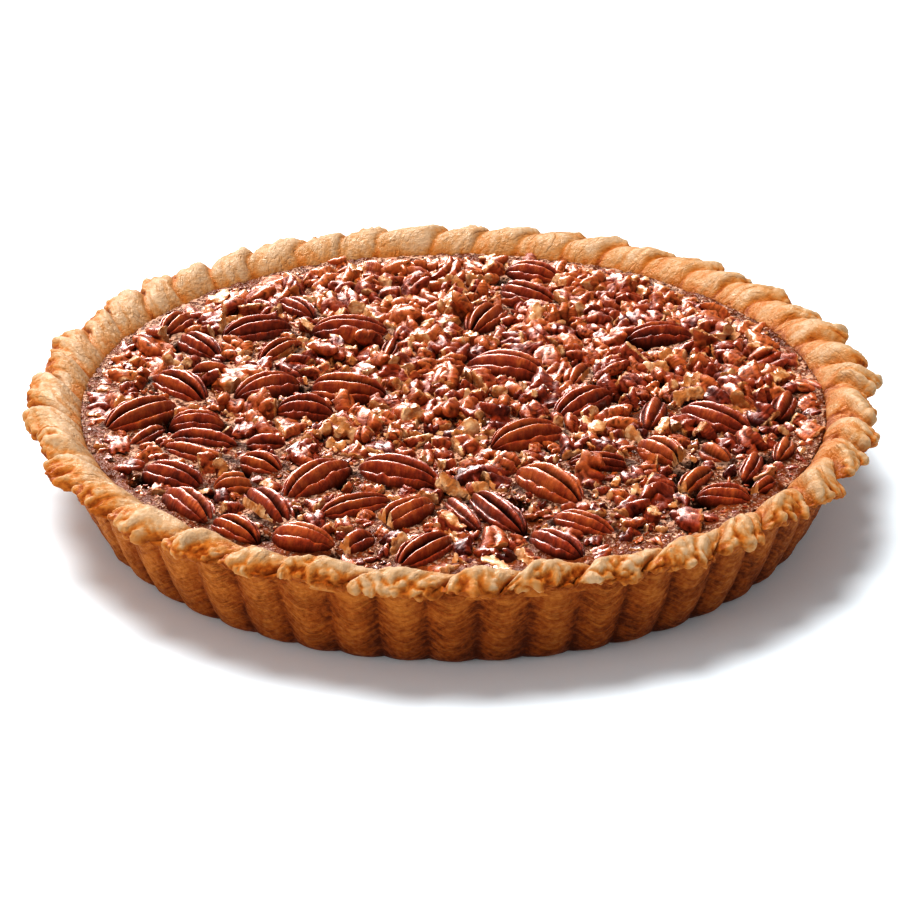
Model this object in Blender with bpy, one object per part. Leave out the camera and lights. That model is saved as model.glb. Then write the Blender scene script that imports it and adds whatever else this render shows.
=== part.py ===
"""A round pecan pie in a fluted short pastry case.

The case is one solid: a flat floor, a fluted wall that leans outward, and a rim pressed into
rope-like crimps.  The set filling is a second solid that fills the case up to its level, and
each pecan half or large piece of one that lies on the filling is a solid of its own.

Run with:  blender --background --python part.py
Lengths are metres, +Z is up, and the origin is the middle of the pie's flat underside.
"""

import math
import random
from collections import namedtuple

import bmesh
import bpy

MM = 0.001
SEED = 28

# Driving dimensions of the case
BASE_RADIUS = 118 * MM          # flat underside
FOOT_FLARE = 2.2 * MM           # the wall's rounded foot
FOOT_HEIGHT = 2.5 * MM
WALL_TOP_RADIUS = 130.5 * MM    # where the wall meets the overhanging rim
WALL_TOP_HEIGHT = 30 * MM
LIP_RISE = 1.2 * MM             # the rim's lower edge, above the wall's top
LIP_INSET = 2.4 * MM            # and inside the rim's outer edge
RIM_RADIUS = 138.2 * MM         # middle of the rim's outer edge, before the crimps
SHOULDER_DROP = 1.6 * MM        # outer shoulder of the rim, below its crest
SHOULDER_INSET = 1.2 * MM
CREST_RADIUS = 133 * MM
CREST_HEIGHT = 37 * MM
INNER_SHOULDER_DROP = 1.8 * MM
INNER_FOOT_WIDTH = 1.6 * MM     # the rim's inner slope ends this far outside the filling
INNER_FOOT_RISE = 0.6 * MM      # and this far above it
PLAIN_DEPTH = 2.5 * MM          # below the filling's level the inside is plain
FLOOR_THICKNESS = 4.5 * MM
FLOOR_INSET = 4.0 * MM          # the floor inside, smaller than the underside
FILLING_RADIUS = 122.6 * MM     # inside of the case at the filling's level
FILLING_HEIGHT = 33 * MM
CASE_SEGMENTS = 200

# Flutes of the wall and crimps of the rim
FLUTE_COUNT = 50
FLUTE_DEPTH = 2.2 * MM
FLUTE_FULLNESS = 0.6            # exponent below 1: broad bulges, narrow creases
CRIMP_COUNT = 36
CRIMP_REACH = 3.0 * MM          # how far a crimp bulges outward
CRIMP_RISE = 2.0 * MM           # how far it stands up
CRIMP_LEAN = 1.8                # twist of the rope, radians of one crimp from outside to inside
CRIMP_MEAN = 0.4                # the rope's mean height, so that the rim's sizes are its averages
CRIMP_UNEVENNESS = 0.35         # share by which crimps differ from one another

# Filling
FILLING_SEGMENTS = 100
FILLING_EDGE_DROP = 0.6 * MM    # the filling sinks a little where it meets the pastry
FILLING_EDGE_WIDTH = 3.5 * MM
GAP = 0.35 * MM                 # clearance between touching solids

# Pecans: shares of a piece's own length and width
HALF_MIN_WIDTH = 9.5 * MM       # narrower pieces are single lobes, without the middle groove
HALF_RISE = 0.37                # height above the filling, as a share of width
LOBE_RISE = 0.55
END_ROUNDING = 0.8              # exponent below 1: the back stays high towards the ends
PLUMPNESS = 2.4                 # exponent of the outline: 2 is an ellipse
STATIONS = (-0.96, -0.72, -0.28, 0.28, 0.72, 0.96)
HALF_SECTION = ((-1.0, 0.0), (-0.82, 0.72), (-0.42, 1.0), (0.0, 0.58), (0.42, 1.0), (0.82, 0.72), (1.0, 0.0))
LOBE_SECTION = ((-1.0, 0.0), (-0.62, 0.78), (0.0, 1.0), (0.62, 0.78), (1.0, 0.0))

Ring = namedtuple("Ring", "radius height flute reach rise lean")
Nut = namedtuple("Nut", "x y turn length width")

# Where the halves and large pieces lie: millimetres from the middle, and degrees from +X
NUTS = (
    # left front
    Nut(-103, -11, 38, 29, 15), Nut(-84, -17, 8, 19, 12), Nut(-49, -7, -3, 20, 14),
    Nut(-100, -26, 52, 18, 6), Nut(-81, -29, -14, 24, 8), Nut(-83, -39, -24, 25, 8),
    Nut(-62, -47, -35, 17, 11), Nut(-61, -32, -8, 14, 8), Nut(-90, -56, -34, 24, 13),
    Nut(-70, -62, 10, 14, 11), Nut(-44, -59, 48, 31, 15), Nut(-17, -55, -28, 31, 16),
    Nut(-84, -77, -50, 24, 13), Nut(-59, -78, -60, 25, 14), Nut(-31, -77, 28, 26, 11),
    Nut(-15, -83, 45, 25, 13), Nut(-68, -93, -45, 20, 11), Nut(-47, -101, -22, 22, 14),
    Nut(-30, -103, 50, 16, 9), Nut(-9, -108, 48, 25, 13),
    # right front
    Nut(24, -27, 30, 28, 15), Nut(43, -2, 40, 25, 14), Nut(66, -9, 78, 26, 9),
    Nut(86, -14, -40, 29, 14), Nut(68, -39, -50, 22, 13), Nut(85, -40, -50, 14, 9),
    Nut(96, -48, 72, 20, 7), Nut(77, -59, 58, 21, 8), Nut(31, -63, -46, 29, 16),
    Nut(3, -82, -66, 27, 7), Nut(14, -81, -60, 30, 12), Nut(41, -90, -30, 23, 11),
    Nut(32, -104, -46, 23, 12), Nut(48, -46, -8, 23, 10), Nut(86, -70, -5, 18, 11),
    Nut(99, -62, 55, 14, 6), Nut(109, -4, 72, 20, 9), Nut(107, -36, 75, 17, 7),
    # left back
    Nut(-67, 56, 26, 27, 14), Nut(-35, 56, 3, 28, 14), Nut(-86, 43, -50, 21, 12),
    Nut(-59, 40, 45, 21, 10), Nut(-54, 75, -52, 19, 10), Nut(-91, 11, -45, 26, 14),
    Nut(-62, 10, 30, 25, 14), Nut(-35, 9, -14, 26, 15), Nut(-81, 23, 0, 14, 9),
    Nut(-95, 61, 62, 19, 11), Nut(-22, 41, 76, 17, 6),
    # right back
    Nut(28, 104, -20, 21, 12), Nut(26, 86, -30, 22, 12), Nut(11, 66, 66, 26, 13),
    Nut(18, 26, -24, 30, 15), Nut(70, 51, 12, 25, 13), Nut(42, 21, 68, 18, 7),
)


def clear_scene():
    """Remove whatever the scene starts with."""
    for thing in list(bpy.data.objects):
        bpy.data.objects.remove(thing, do_unlink=True)


def make_material(name, colour, roughness):
    """A Principled material with one colour; nothing on a pie is metal."""
    material = bpy.data.materials.new(name)
    material.use_nodes = True
    shader = material.node_tree.nodes["Principled BSDF"]
    shader.inputs["Base Color"].default_value = (*colour, 1.0)
    shader.inputs["Roughness"].default_value = roughness
    shader.inputs["Metallic"].default_value = 0.0
    material.diffuse_color = (*colour, 1.0)
    return material


def finish_object(name, mesh_builder, material, sharp_angle):
    """Turn a bmesh into a named, smooth-shaded object that wears one material."""
    mesh = bpy.data.meshes.new(name)
    mesh_builder.to_mesh(mesh)
    mesh_builder.free()
    mesh.shade_smooth()
    mesh.set_sharp_from_angle(angle=sharp_angle)
    mesh.materials.append(material)
    thing = bpy.data.objects.new(name, mesh)
    bpy.context.scene.collection.objects.link(thing)
    return thing


def bridge(builder, first, second):
    """Join two rings of the same count with quads; first lies before second along the skin."""
    count = len(first)
    for index in range(count):
        following = (index + 1) % count
        builder.faces.new((first[index], first[following], second[following], second[index]))


def cap(builder, ring, centre, starts):
    """Close a ring onto one vertex; starts says that the skin begins at that vertex."""
    count = len(ring)
    for index in range(count):
        following = (index + 1) % count
        corners = (centre, ring[following], ring[index]) if starts else (centre, ring[index], ring[following])
        builder.faces.new(corners)


def flute_wave(angle):
    """Rounded bulges that meet in narrow creases: 0 in a crease, 1 on a bulge."""
    return abs(math.sin(0.5 * FLUTE_COUNT * angle)) ** FLUTE_FULLNESS


def crimp_offsets():
    """One seeded unevenness factor for each crimp of the rim."""
    dice = random.Random(SEED)
    return [dice.uniform(-CRIMP_UNEVENNESS, CRIMP_UNEVENNESS) for _ in range(CRIMP_COUNT)]


def crimp_wave(angle, lean, offsets):
    """Height of the rope at an angle: 0 between two crimps, about 1 on one, uneven as by hand."""
    phase = CRIMP_COUNT * angle / (2 * math.pi) + lean / (2 * math.pi)
    lobe = 0.5 - 0.5 * math.cos(2 * math.pi * phase)
    return lobe * (1 + offsets[int(math.floor(phase)) % CRIMP_COUNT])


def case_rings():
    """The case's section, from the edge of its underside, up the outside and down the inside."""
    rim_middle = 0.5 * (WALL_TOP_HEIGHT + CREST_HEIGHT)
    inner_shoulder = 0.5 * (CREST_RADIUS + FILLING_RADIUS)
    inner_foot = FILLING_RADIUS + INNER_FOOT_WIDTH
    return (
        Ring(BASE_RADIUS, 0, 0.5, 0, 0, 0),
        Ring(BASE_RADIUS + FOOT_FLARE, FOOT_HEIGHT, 0.9, 0, 0, 0),
        Ring(0.45 * BASE_RADIUS + 0.55 * WALL_TOP_RADIUS, 0.55 * WALL_TOP_HEIGHT, 1.0, 0, 0, 0),
        Ring(WALL_TOP_RADIUS, WALL_TOP_HEIGHT, 0.8, 0.2, 0, 0),
        Ring(RIM_RADIUS - LIP_INSET, WALL_TOP_HEIGHT + LIP_RISE, 0, 0.7, -0.3, 0),
        Ring(RIM_RADIUS, rim_middle, 0, 1.0, 0, 0),
        Ring(RIM_RADIUS - SHOULDER_INSET, CREST_HEIGHT - SHOULDER_DROP, 0, 0.8, 0.6, 0.35 * CRIMP_LEAN),
        Ring(CREST_RADIUS, CREST_HEIGHT, 0, 0, 1.0, 0.7 * CRIMP_LEAN),
        Ring(inner_shoulder, CREST_HEIGHT - INNER_SHOULDER_DROP, 0, 0, 0.7, CRIMP_LEAN),
        Ring(inner_foot, FILLING_HEIGHT + INNER_FOOT_RISE, 0, 0, 0.2, CRIMP_LEAN),
        Ring(FILLING_RADIUS, FILLING_HEIGHT - PLAIN_DEPTH, 0, 0, 0, 0),
        Ring(BASE_RADIUS - FLOOR_INSET, FLOOR_THICKNESS, 0, 0, 0, 0),
    )


def build_case(material):
    """Pastry case: fluted outside, roped rim, plain inside with a flat floor."""
    builder = bmesh.new()
    offsets = crimp_offsets()
    rings = []
    for ring in case_rings():
        vertices = []
        for step in range(CASE_SEGMENTS):
            angle = 2 * math.pi * step / CASE_SEGMENTS
            crimp = crimp_wave(angle, ring.lean, offsets)
            flute = flute_wave(angle)
            radius = ring.radius + ring.flute * FLUTE_DEPTH * (flute - 0.5)
            radius += ring.reach * CRIMP_REACH * (crimp - CRIMP_MEAN)
            height = ring.height + ring.rise * CRIMP_RISE * (crimp - CRIMP_MEAN)
            vertices.append(builder.verts.new((radius * math.cos(angle), radius * math.sin(angle), height)))
        rings.append(vertices)
    under = builder.verts.new((0, 0, 0))
    floor = builder.verts.new((0, 0, FLOOR_THICKNESS))
    cap(builder, rings[0], under, starts=True)
    for first, second in zip(rings, rings[1:]):
        bridge(builder, first, second)
    cap(builder, rings[-1], floor, starts=False)
    return finish_object("crust", builder, material, math.radians(50))


def build_filling(material):
    """Set filling: it follows the inside of the case with a small gap, and its top is flat."""
    inside = FILLING_RADIUS - GAP
    outline = (
        (BASE_RADIUS - FLOOR_INSET - GAP, FLOOR_THICKNESS + GAP),
        (inside, FILLING_HEIGHT - PLAIN_DEPTH),
        (inside, FILLING_HEIGHT - FILLING_EDGE_DROP),
        (inside - FILLING_EDGE_WIDTH, FILLING_HEIGHT),
    )
    builder = bmesh.new()
    rings = []
    for radius, height in outline:
        vertices = []
        for step in range(FILLING_SEGMENTS):
            angle = 2 * math.pi * step / FILLING_SEGMENTS
            vertices.append(builder.verts.new((radius * math.cos(angle), radius * math.sin(angle), height)))
        rings.append(vertices)
    under = builder.verts.new((0, 0, FLOOR_THICKNESS + GAP))
    top = builder.verts.new((0, 0, FILLING_HEIGHT))
    cap(builder, rings[0], under, starts=True)
    for first, second in zip(rings, rings[1:]):
        bridge(builder, first, second)
    cap(builder, rings[-1], top, starts=False)
    return finish_object("filling", builder, material, math.radians(40))


def outline_share(station):
    """Half width of a nut at a station along it, as a share of its greatest half width."""
    return (1 - abs(station) ** PLUMPNESS) ** (1 / PLUMPNESS)


def build_nut(number, nut, material):
    """One pecan: lengthwise lobes over a flat underside, made along X and then laid in place."""
    width = nut.width * MM
    is_half = width >= HALF_MIN_WIDTH
    section = HALF_SECTION if is_half else LOBE_SECTION
    rise = width * (HALF_RISE if is_half else LOBE_RISE)
    builder = bmesh.new()
    rings = []
    for station in STATIONS:
        share = outline_share(station)
        ring = [
            builder.verts.new((
                0.5 * nut.length * MM * station,
                0.5 * width * share * across,
                rise * share ** END_ROUNDING * up,
            ))
            for across, up in section
        ]
        rings.append(ring)
    for first, second in zip(rings, rings[1:]):
        bridge(builder, first, second)
    builder.faces.new(reversed(rings[0]))
    builder.faces.new(rings[-1])
    bmesh.ops.recalc_face_normals(builder, faces=builder.faces)
    thing = finish_object(f"pecan_{number:02d}", builder, material, math.radians(60))
    thing.location = (nut.x * MM, nut.y * MM, FILLING_HEIGHT + GAP)
    thing.rotation_euler = (0, 0, math.radians(nut.turn))
    return thing


def main():
    """Build the whole pie."""
    clear_scene()
    pastry = make_material("baked_pastry", (0.58, 0.31, 0.12), 0.6)
    caramel = make_material("set_filling", (0.20, 0.08, 0.03), 0.35)
    pecan = make_material("pecan_skin", (0.27, 0.08, 0.03), 0.4)
    build_case(pastry)
    build_filling(caramel)
    for number, nut in enumerate(NUTS, start=1):
        build_nut(number, nut, pecan)


main()
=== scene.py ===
"""A baked pecan pie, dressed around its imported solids.

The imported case, filling and pecan halves give every place and size.  The case is dressed as a
fluted wall and a rope-crimped rim, the filling as a pitted caramel top, each half as a lobed
nut, and the chopped nuts and crumbs between them are scattered over the filling.

Arrays of places are in millimetres; Blender's own values are in metres.  Where a number is
added to places before noise is read there, it only picks another part of the noise.
"""

import itertools
import logging
import math
from dataclasses import astuple, dataclass, field
from enum import Enum

import bpy
import numpy as np
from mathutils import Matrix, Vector


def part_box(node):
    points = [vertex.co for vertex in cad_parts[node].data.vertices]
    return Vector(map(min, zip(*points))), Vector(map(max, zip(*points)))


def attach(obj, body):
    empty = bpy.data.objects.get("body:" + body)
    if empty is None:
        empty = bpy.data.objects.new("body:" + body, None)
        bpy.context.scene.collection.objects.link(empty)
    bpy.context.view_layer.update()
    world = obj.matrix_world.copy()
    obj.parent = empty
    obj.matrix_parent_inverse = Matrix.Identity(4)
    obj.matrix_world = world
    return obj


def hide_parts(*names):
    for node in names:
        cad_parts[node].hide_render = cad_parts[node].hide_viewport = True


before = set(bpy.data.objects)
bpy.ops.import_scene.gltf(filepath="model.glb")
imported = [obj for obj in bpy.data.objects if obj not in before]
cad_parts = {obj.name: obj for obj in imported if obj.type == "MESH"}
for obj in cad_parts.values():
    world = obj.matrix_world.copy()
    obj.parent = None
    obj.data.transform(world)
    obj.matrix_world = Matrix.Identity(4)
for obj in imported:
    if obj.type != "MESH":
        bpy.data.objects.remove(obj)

Triple = tuple[float, float, float]
Piece = bpy.types.Object
Socket = bpy.types.NodeSocket

MM = 0.001
TURN = 2 * math.pi
BODY = "root"
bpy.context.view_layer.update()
LOG = logging.getLogger("pecan_pie")


# --- Small mesh tools ------------------------------------------------------------------------

def ease(low: float, high: float, values: np.ndarray) -> np.ndarray:
    """Rise smoothly from 0 at low to 1 at high."""
    share = np.clip((values - low) / (high - low), 0, 1)
    return share * share * (3 - 2 * share)


def set_all(target: object, settings: dict[str, object]) -> None:
    """Set several properties of one of Blender's own objects."""
    for name, value in settings.items():
        setattr(target, name, value)


def deselect() -> None:
    """Leave edit mode and select nothing, so that the next operator acts on its own piece."""
    if bpy.context.object and bpy.context.object.mode != "OBJECT":
        bpy.ops.object.mode_set(mode="OBJECT")
    bpy.ops.object.select_all(action="DESELECT")


def pick(piece: Piece) -> None:
    """Make one object the only selected and active one.

    Args:
        piece: the object.
    """
    deselect()
    piece.select_set(True)
    bpy.context.view_layer.objects.active = piece


def name_primitive(name: str) -> Piece:
    """Name the primitive that was just added.

    Args:
        name: the name for the object and its mesh.

    Returns:
        The object.
    """
    piece = bpy.context.object
    piece.name = name
    piece.data.name = name
    return piece


def link_new(name: str, data: bpy.types.ID) -> Piece:
    """Put new data into the scene.

    Args:
        name: the new object's name.
        data: a mesh, a light or a camera.

    Returns:
        The object, at the origin.
    """
    made = bpy.data.objects.new(name, data)
    bpy.context.scene.collection.objects.link(made)
    return made


def read_places(piece: Piece) -> np.ndarray:
    """Read a mesh's vertex places.

    Args:
        piece: the mesh object.

    Returns:
        The places in millimetres, one row each.
    """
    flat = np.empty(len(piece.data.vertices) * 3)
    piece.data.vertices.foreach_get("co", flat)
    return flat.reshape(-1, 3) / MM


def write_places(piece: Piece, places: np.ndarray) -> None:
    """Move a mesh's vertices to places given in millimetres."""
    piece.data.vertices.foreach_set("co", (places * MM).astype(np.float32).ravel())
    piece.data.update()


def store(piece: Piece, name: str, values: np.ndarray) -> None:
    """Keep a value for each vertex, as an attribute for the finishes.

    Args:
        piece: the mesh object.
        name: the attribute's name.
        values: one number, or one row of three, for each vertex.
    """
    vector = values.ndim == 2
    kind, key = ("FLOAT_VECTOR", "vector") if vector else ("FLOAT", "value")
    attribute = piece.data.attributes.new(name, kind, "POINT")
    attribute.data.foreach_set(key, values.astype(np.float32).ravel())


def recall(piece: Piece, name: str) -> np.ndarray:
    """Read back an attribute of one number for each vertex.

    Args:
        piece: the mesh object.
        name: the attribute's name.

    Returns:
        The numbers.
    """
    values = np.empty(len(piece.data.vertices))
    piece.data.attributes[name].data.foreach_get("value", values)
    return values


def select_vertices(piece: Piece, chosen: np.ndarray | None = None) -> None:
    """Enter edit mode with exactly the chosen vertices selected.

    Args:
        piece: the mesh object.
        chosen: True for each vertex to select; all are selected if it is left out.
    """
    if chosen is None:
        chosen = np.ones(len(piece.data.vertices))
    pick(piece)
    bpy.context.tool_settings.mesh_select_mode = (True, False, False)
    bpy.ops.object.mode_set(mode="EDIT")
    bpy.ops.mesh.select_all(action="DESELECT")
    bpy.ops.object.mode_set(mode="OBJECT")
    piece.data.vertices.foreach_set("select", chosen.astype(bool))
    bpy.ops.object.mode_set(mode="EDIT")


def cut_off(piece: Piece, spot: Vector, facing: Vector) -> None:
    """Cut a piece by a plane, drop what lies in front of it and close the cut.

    Args:
        piece: the mesh object, unmoved.
        spot: a point of the plane, in millimetres.
        facing: the way that the plane looks.
    """
    select_vertices(piece)
    bpy.ops.mesh.bisect(plane_co=spot * MM, plane_no=facing, use_fill=True, clear_outer=True)
    bpy.ops.object.mode_set(mode="OBJECT")


def apply_modifier(piece: Piece, kind: str, **settings: object) -> None:
    """Add one modifier to the active piece and apply it.

    Args:
        piece: the mesh object.
        kind: the modifier's type name.
        settings: the modifier's own properties.
    """
    modifier = piece.modifiers.new(kind.lower(), kind)
    set_all(modifier, settings)
    bpy.ops.object.modifier_apply(modifier=modifier.name)


def count_triangles(piece: Piece) -> int:
    """Return how many triangles a mesh comes to."""
    return sum(len(face.vertices) - 2 for face in piece.data.polygons)


def finish_piece(piece: Piece, material: bpy.types.Material, slot: str, *nodes: str) -> None:
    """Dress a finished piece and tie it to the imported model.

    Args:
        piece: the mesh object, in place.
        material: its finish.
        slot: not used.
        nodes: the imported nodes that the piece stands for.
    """
    deselect()
    piece.data.materials.append(material)
    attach(piece, BODY)
    if nodes:
        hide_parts(*nodes)
    LOG.info("%s: %d triangles", piece.name, count_triangles(piece))


def from_axis(places: np.ndarray) -> np.ndarray:
    """Return how far places lie from the pie's axis."""
    return np.hypot(places[:, 0], places[:, 1])


def at_zero(flat: np.ndarray) -> np.ndarray:
    """Give flat spots a height of zero, so that noise can be read there."""
    return np.column_stack((flat, np.zeros(len(flat))))


def on_circle(angle: np.ndarray, radius: float | np.ndarray) -> np.ndarray:
    """Return the flat spots at angles in radians and at a radius."""
    return np.column_stack((radius * np.cos(angle), radius * np.sin(angle)))


def square_to(direction: np.ndarray) -> np.ndarray:
    """Return a flat direction turned left by a right angle."""
    return np.array((-direction[1], direction[0]))


def turned(places: np.ndarray, roll: float, pitch: float, turn: float) -> np.ndarray:
    """Turn places about X, then Y, then Z.

    Args:
        places: one row of three for each place.
        roll: the angle about X, in radians.
        pitch: the angle about Y.
        turn: the angle about Z.

    Returns:
        The turned places.
    """
    whole = np.eye(3)
    for angle, one, other in ((turn, 0, 1), (pitch, 2, 0), (roll, 1, 2)):
        spin = np.eye(3)
        spin[one, one] = spin[other, other] = math.cos(angle)
        spin[other, one] = math.sin(angle)
        spin[one, other] = -math.sin(angle)
        whole = whole @ spin
    return places @ whole.T


def spin_section(name: str, section: np.ndarray, steps: int, is_loop: bool) -> Piece:
    """Turn a section once round the pie's axis and close it.

    Args:
        name: the new piece's name.
        section: radius and height of each point, in millimetres.
        steps: how many steps make the full turn.
        is_loop: True for a closed section; an open one is capped at both ends.

    Returns:
        The closed object, its faces pointing out.
    """
    same_place = 0.01
    count = len(section)
    deselect()
    bpy.ops.mesh.primitive_circle_add(vertices=count, radius=1.0, fill_type="NOTHING")
    piece = name_primitive(name)
    write_places(piece, np.column_stack((section[:, 0], np.zeros(count), section[:, 1])))
    if not is_loop:
        select_vertices(piece, np.isin(np.arange(count), (0, count - 1)))
        bpy.ops.mesh.delete(type="EDGE")
    pick(piece)
    apply_modifier(piece, "SCREW", axis="Z", angle=TURN, steps=steps, render_steps=steps,
                   use_merge_vertices=True, merge_threshold=1e-6)
    if not is_loop:
        for radius, height in (section[0], section[-1]):
            places = read_places(piece)
            on_radius = abs(from_axis(places) - radius) < same_place
            select_vertices(piece, on_radius & (abs(places[:, 2] - height) < same_place))
            bpy.ops.mesh.edge_face_add()
            bpy.ops.mesh.poke()
            bpy.ops.object.mode_set(mode="OBJECT")
    select_vertices(piece)
    bpy.ops.mesh.normals_make_consistent(inside=False)
    bpy.ops.object.mode_set(mode="OBJECT")
    return piece


def around_ring(turn: np.ndarray, per_turn: float, height: np.ndarray) -> np.ndarray:
    """Return noise coordinates that close on themselves round the pie.

    Args:
        turn: the angle in radians.
        per_turn: how many noise periods one full turn holds.
        height: the coordinate across, in noise periods.

    Returns:
        One row of three for each angle.
    """
    return np.column_stack((on_circle(turn, per_turn / TURN), height))


def match_section(places: np.ndarray, section: np.ndarray) -> np.ndarray:
    """Tell which point of the section each place on a spun mesh came from.

    Args:
        places: the mesh's places.
        section: radius and height of each point of the section.

    Returns:
        The index of the section's point, for each place.
    """
    flat = np.column_stack((from_axis(places), places[:, 2]))
    nearest = np.empty(len(flat), int)
    block = 20000
    for start in range(0, len(flat), block):
        part = flat[start:start + block]
        gaps = ((part[:, None, :] - section[None, :, :]) ** 2).sum(axis=2)
        nearest[start:start + block] = gaps.argmin(axis=1)
    return nearest


def closed_curve(anchors: np.ndarray, count: int) -> np.ndarray:
    """Run a smooth closed curve through anchors.

    Args:
        anchors: one row for each anchor; all columns are carried along the curve alike.
        count: how many points to return.

    Returns:
        The curve's points, equally many between any two anchors.
    """
    spots = np.arange(count) * len(anchors) / count
    index = spots.astype(int)
    share = (spots - index)[:, None]
    before, here, after, beyond = (anchors[(index + step) % len(anchors)] for step in (-1, 0, 1, 2))
    return 0.5 * (2 * here + (after - before) * share
                  + (2 * before - 5 * here + 4 * after - beyond) * share ** 2
                  + (3 * (here - after) + beyond - before) * share ** 3)


def outward_of(section: np.ndarray) -> np.ndarray:
    """Find which way is out of a closed section.

    Args:
        section: radius and height of each point.

    Returns:
        One unit row of radius and height for each point.
    """
    along = np.roll(section, -1, axis=0) - np.roll(section, 1, axis=0)
    along /= np.linalg.norm(along, axis=1, keepdims=True)
    outward = np.column_stack((-along[:, 1], along[:, 0]))
    is_inward = ((section - section.mean(axis=0)) * outward).sum() < 0
    return -outward if is_inward else outward


class DoughNoise:
    """Seeded smooth noise, for all that hands and an oven leave uneven."""

    TABLE = 512
    STRENGTH = 1.7

    def __init__(self, seed: int) -> None:
        """Fill the tables of directions and spots.

        Args:
            seed: the same seed gives the same noise.
        """
        dice = np.random.default_rng(seed)
        self._order = dice.permutation(self.TABLE)
        slopes = dice.normal(size=(self.TABLE, 3))
        self._slopes = slopes / np.linalg.norm(slopes, axis=1, keepdims=True)
        self._spots = dice.random((self.TABLE, 3))

    def _key(self, cell: np.ndarray) -> np.ndarray:
        """Return a table index for each whole-numbered cell.

        Args:
            cell: one row of three whole numbers for each cell.

        Returns:
            The indices.
        """
        key = self._order[cell[:, 0] % self.TABLE]
        key = self._order[(key + cell[:, 1]) % self.TABLE]
        return self._order[(key + cell[:, 2]) % self.TABLE]

    def at(self, places: np.ndarray, period: float) -> np.ndarray:
        """Read smooth noise.

        Args:
            places: one row of three coordinates for each value.
            period: the size of one bump, in the places' unit.

        Returns:
            A value between about -1 and 1 for each place.
        """
        scaled = places / period
        cell = np.floor(scaled).astype(int)
        inside = scaled - cell
        fade = inside ** 3 * (inside * (inside * 6 - 15) + 10)
        total = np.zeros(len(places))
        for corner in itertools.product((0, 1), repeat=3):
            step = np.array(corner)
            slope = self._slopes[self._key(cell + step)]
            weight = np.where(step, fade, 1 - fade).prod(axis=1)
            total += weight * (slope * (inside - step)).sum(axis=1)
        return total * self.STRENGTH

    def layered(self, places: np.ndarray, period: float, layers: int) -> np.ndarray:
        """Read noise of several sizes, each half as large and half as strong as the last.

        Args:
            places: one row of three coordinates for each value.
            period: the size of the largest bumps.
            layers: how many sizes there are.

        Returns:
            A value between about -2 and 2 for each place.
        """
        total = np.zeros(len(places))
        for layer in range(layers):
            total += self.at(places + 17.3 * layer, period / 2 ** layer) / 2 ** layer
        return total

    def cells(self, places: np.ndarray, period: float) -> np.ndarray:
        """Measure how far places lie from the nearest seeded spot.

        Args:
            places: one row of three coordinates for each value.
            period: the size of the cells, which hold one spot each.

        Returns:
            The distances, in cell sizes.
        """
        scaled = places / period
        cell = np.floor(scaled).astype(int)
        nearest = np.full(len(places), np.inf)
        for corner in itertools.product((-1, 0, 1), repeat=3):
            spot_cell = cell + np.array(corner)
            spot = spot_cell + self._spots[self._key(spot_cell)]
            nearest = np.minimum(nearest, ((scaled - spot) ** 2).sum(axis=1))
        return np.sqrt(nearest)


# --- Finishes --------------------------------------------------------------------------------

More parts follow.
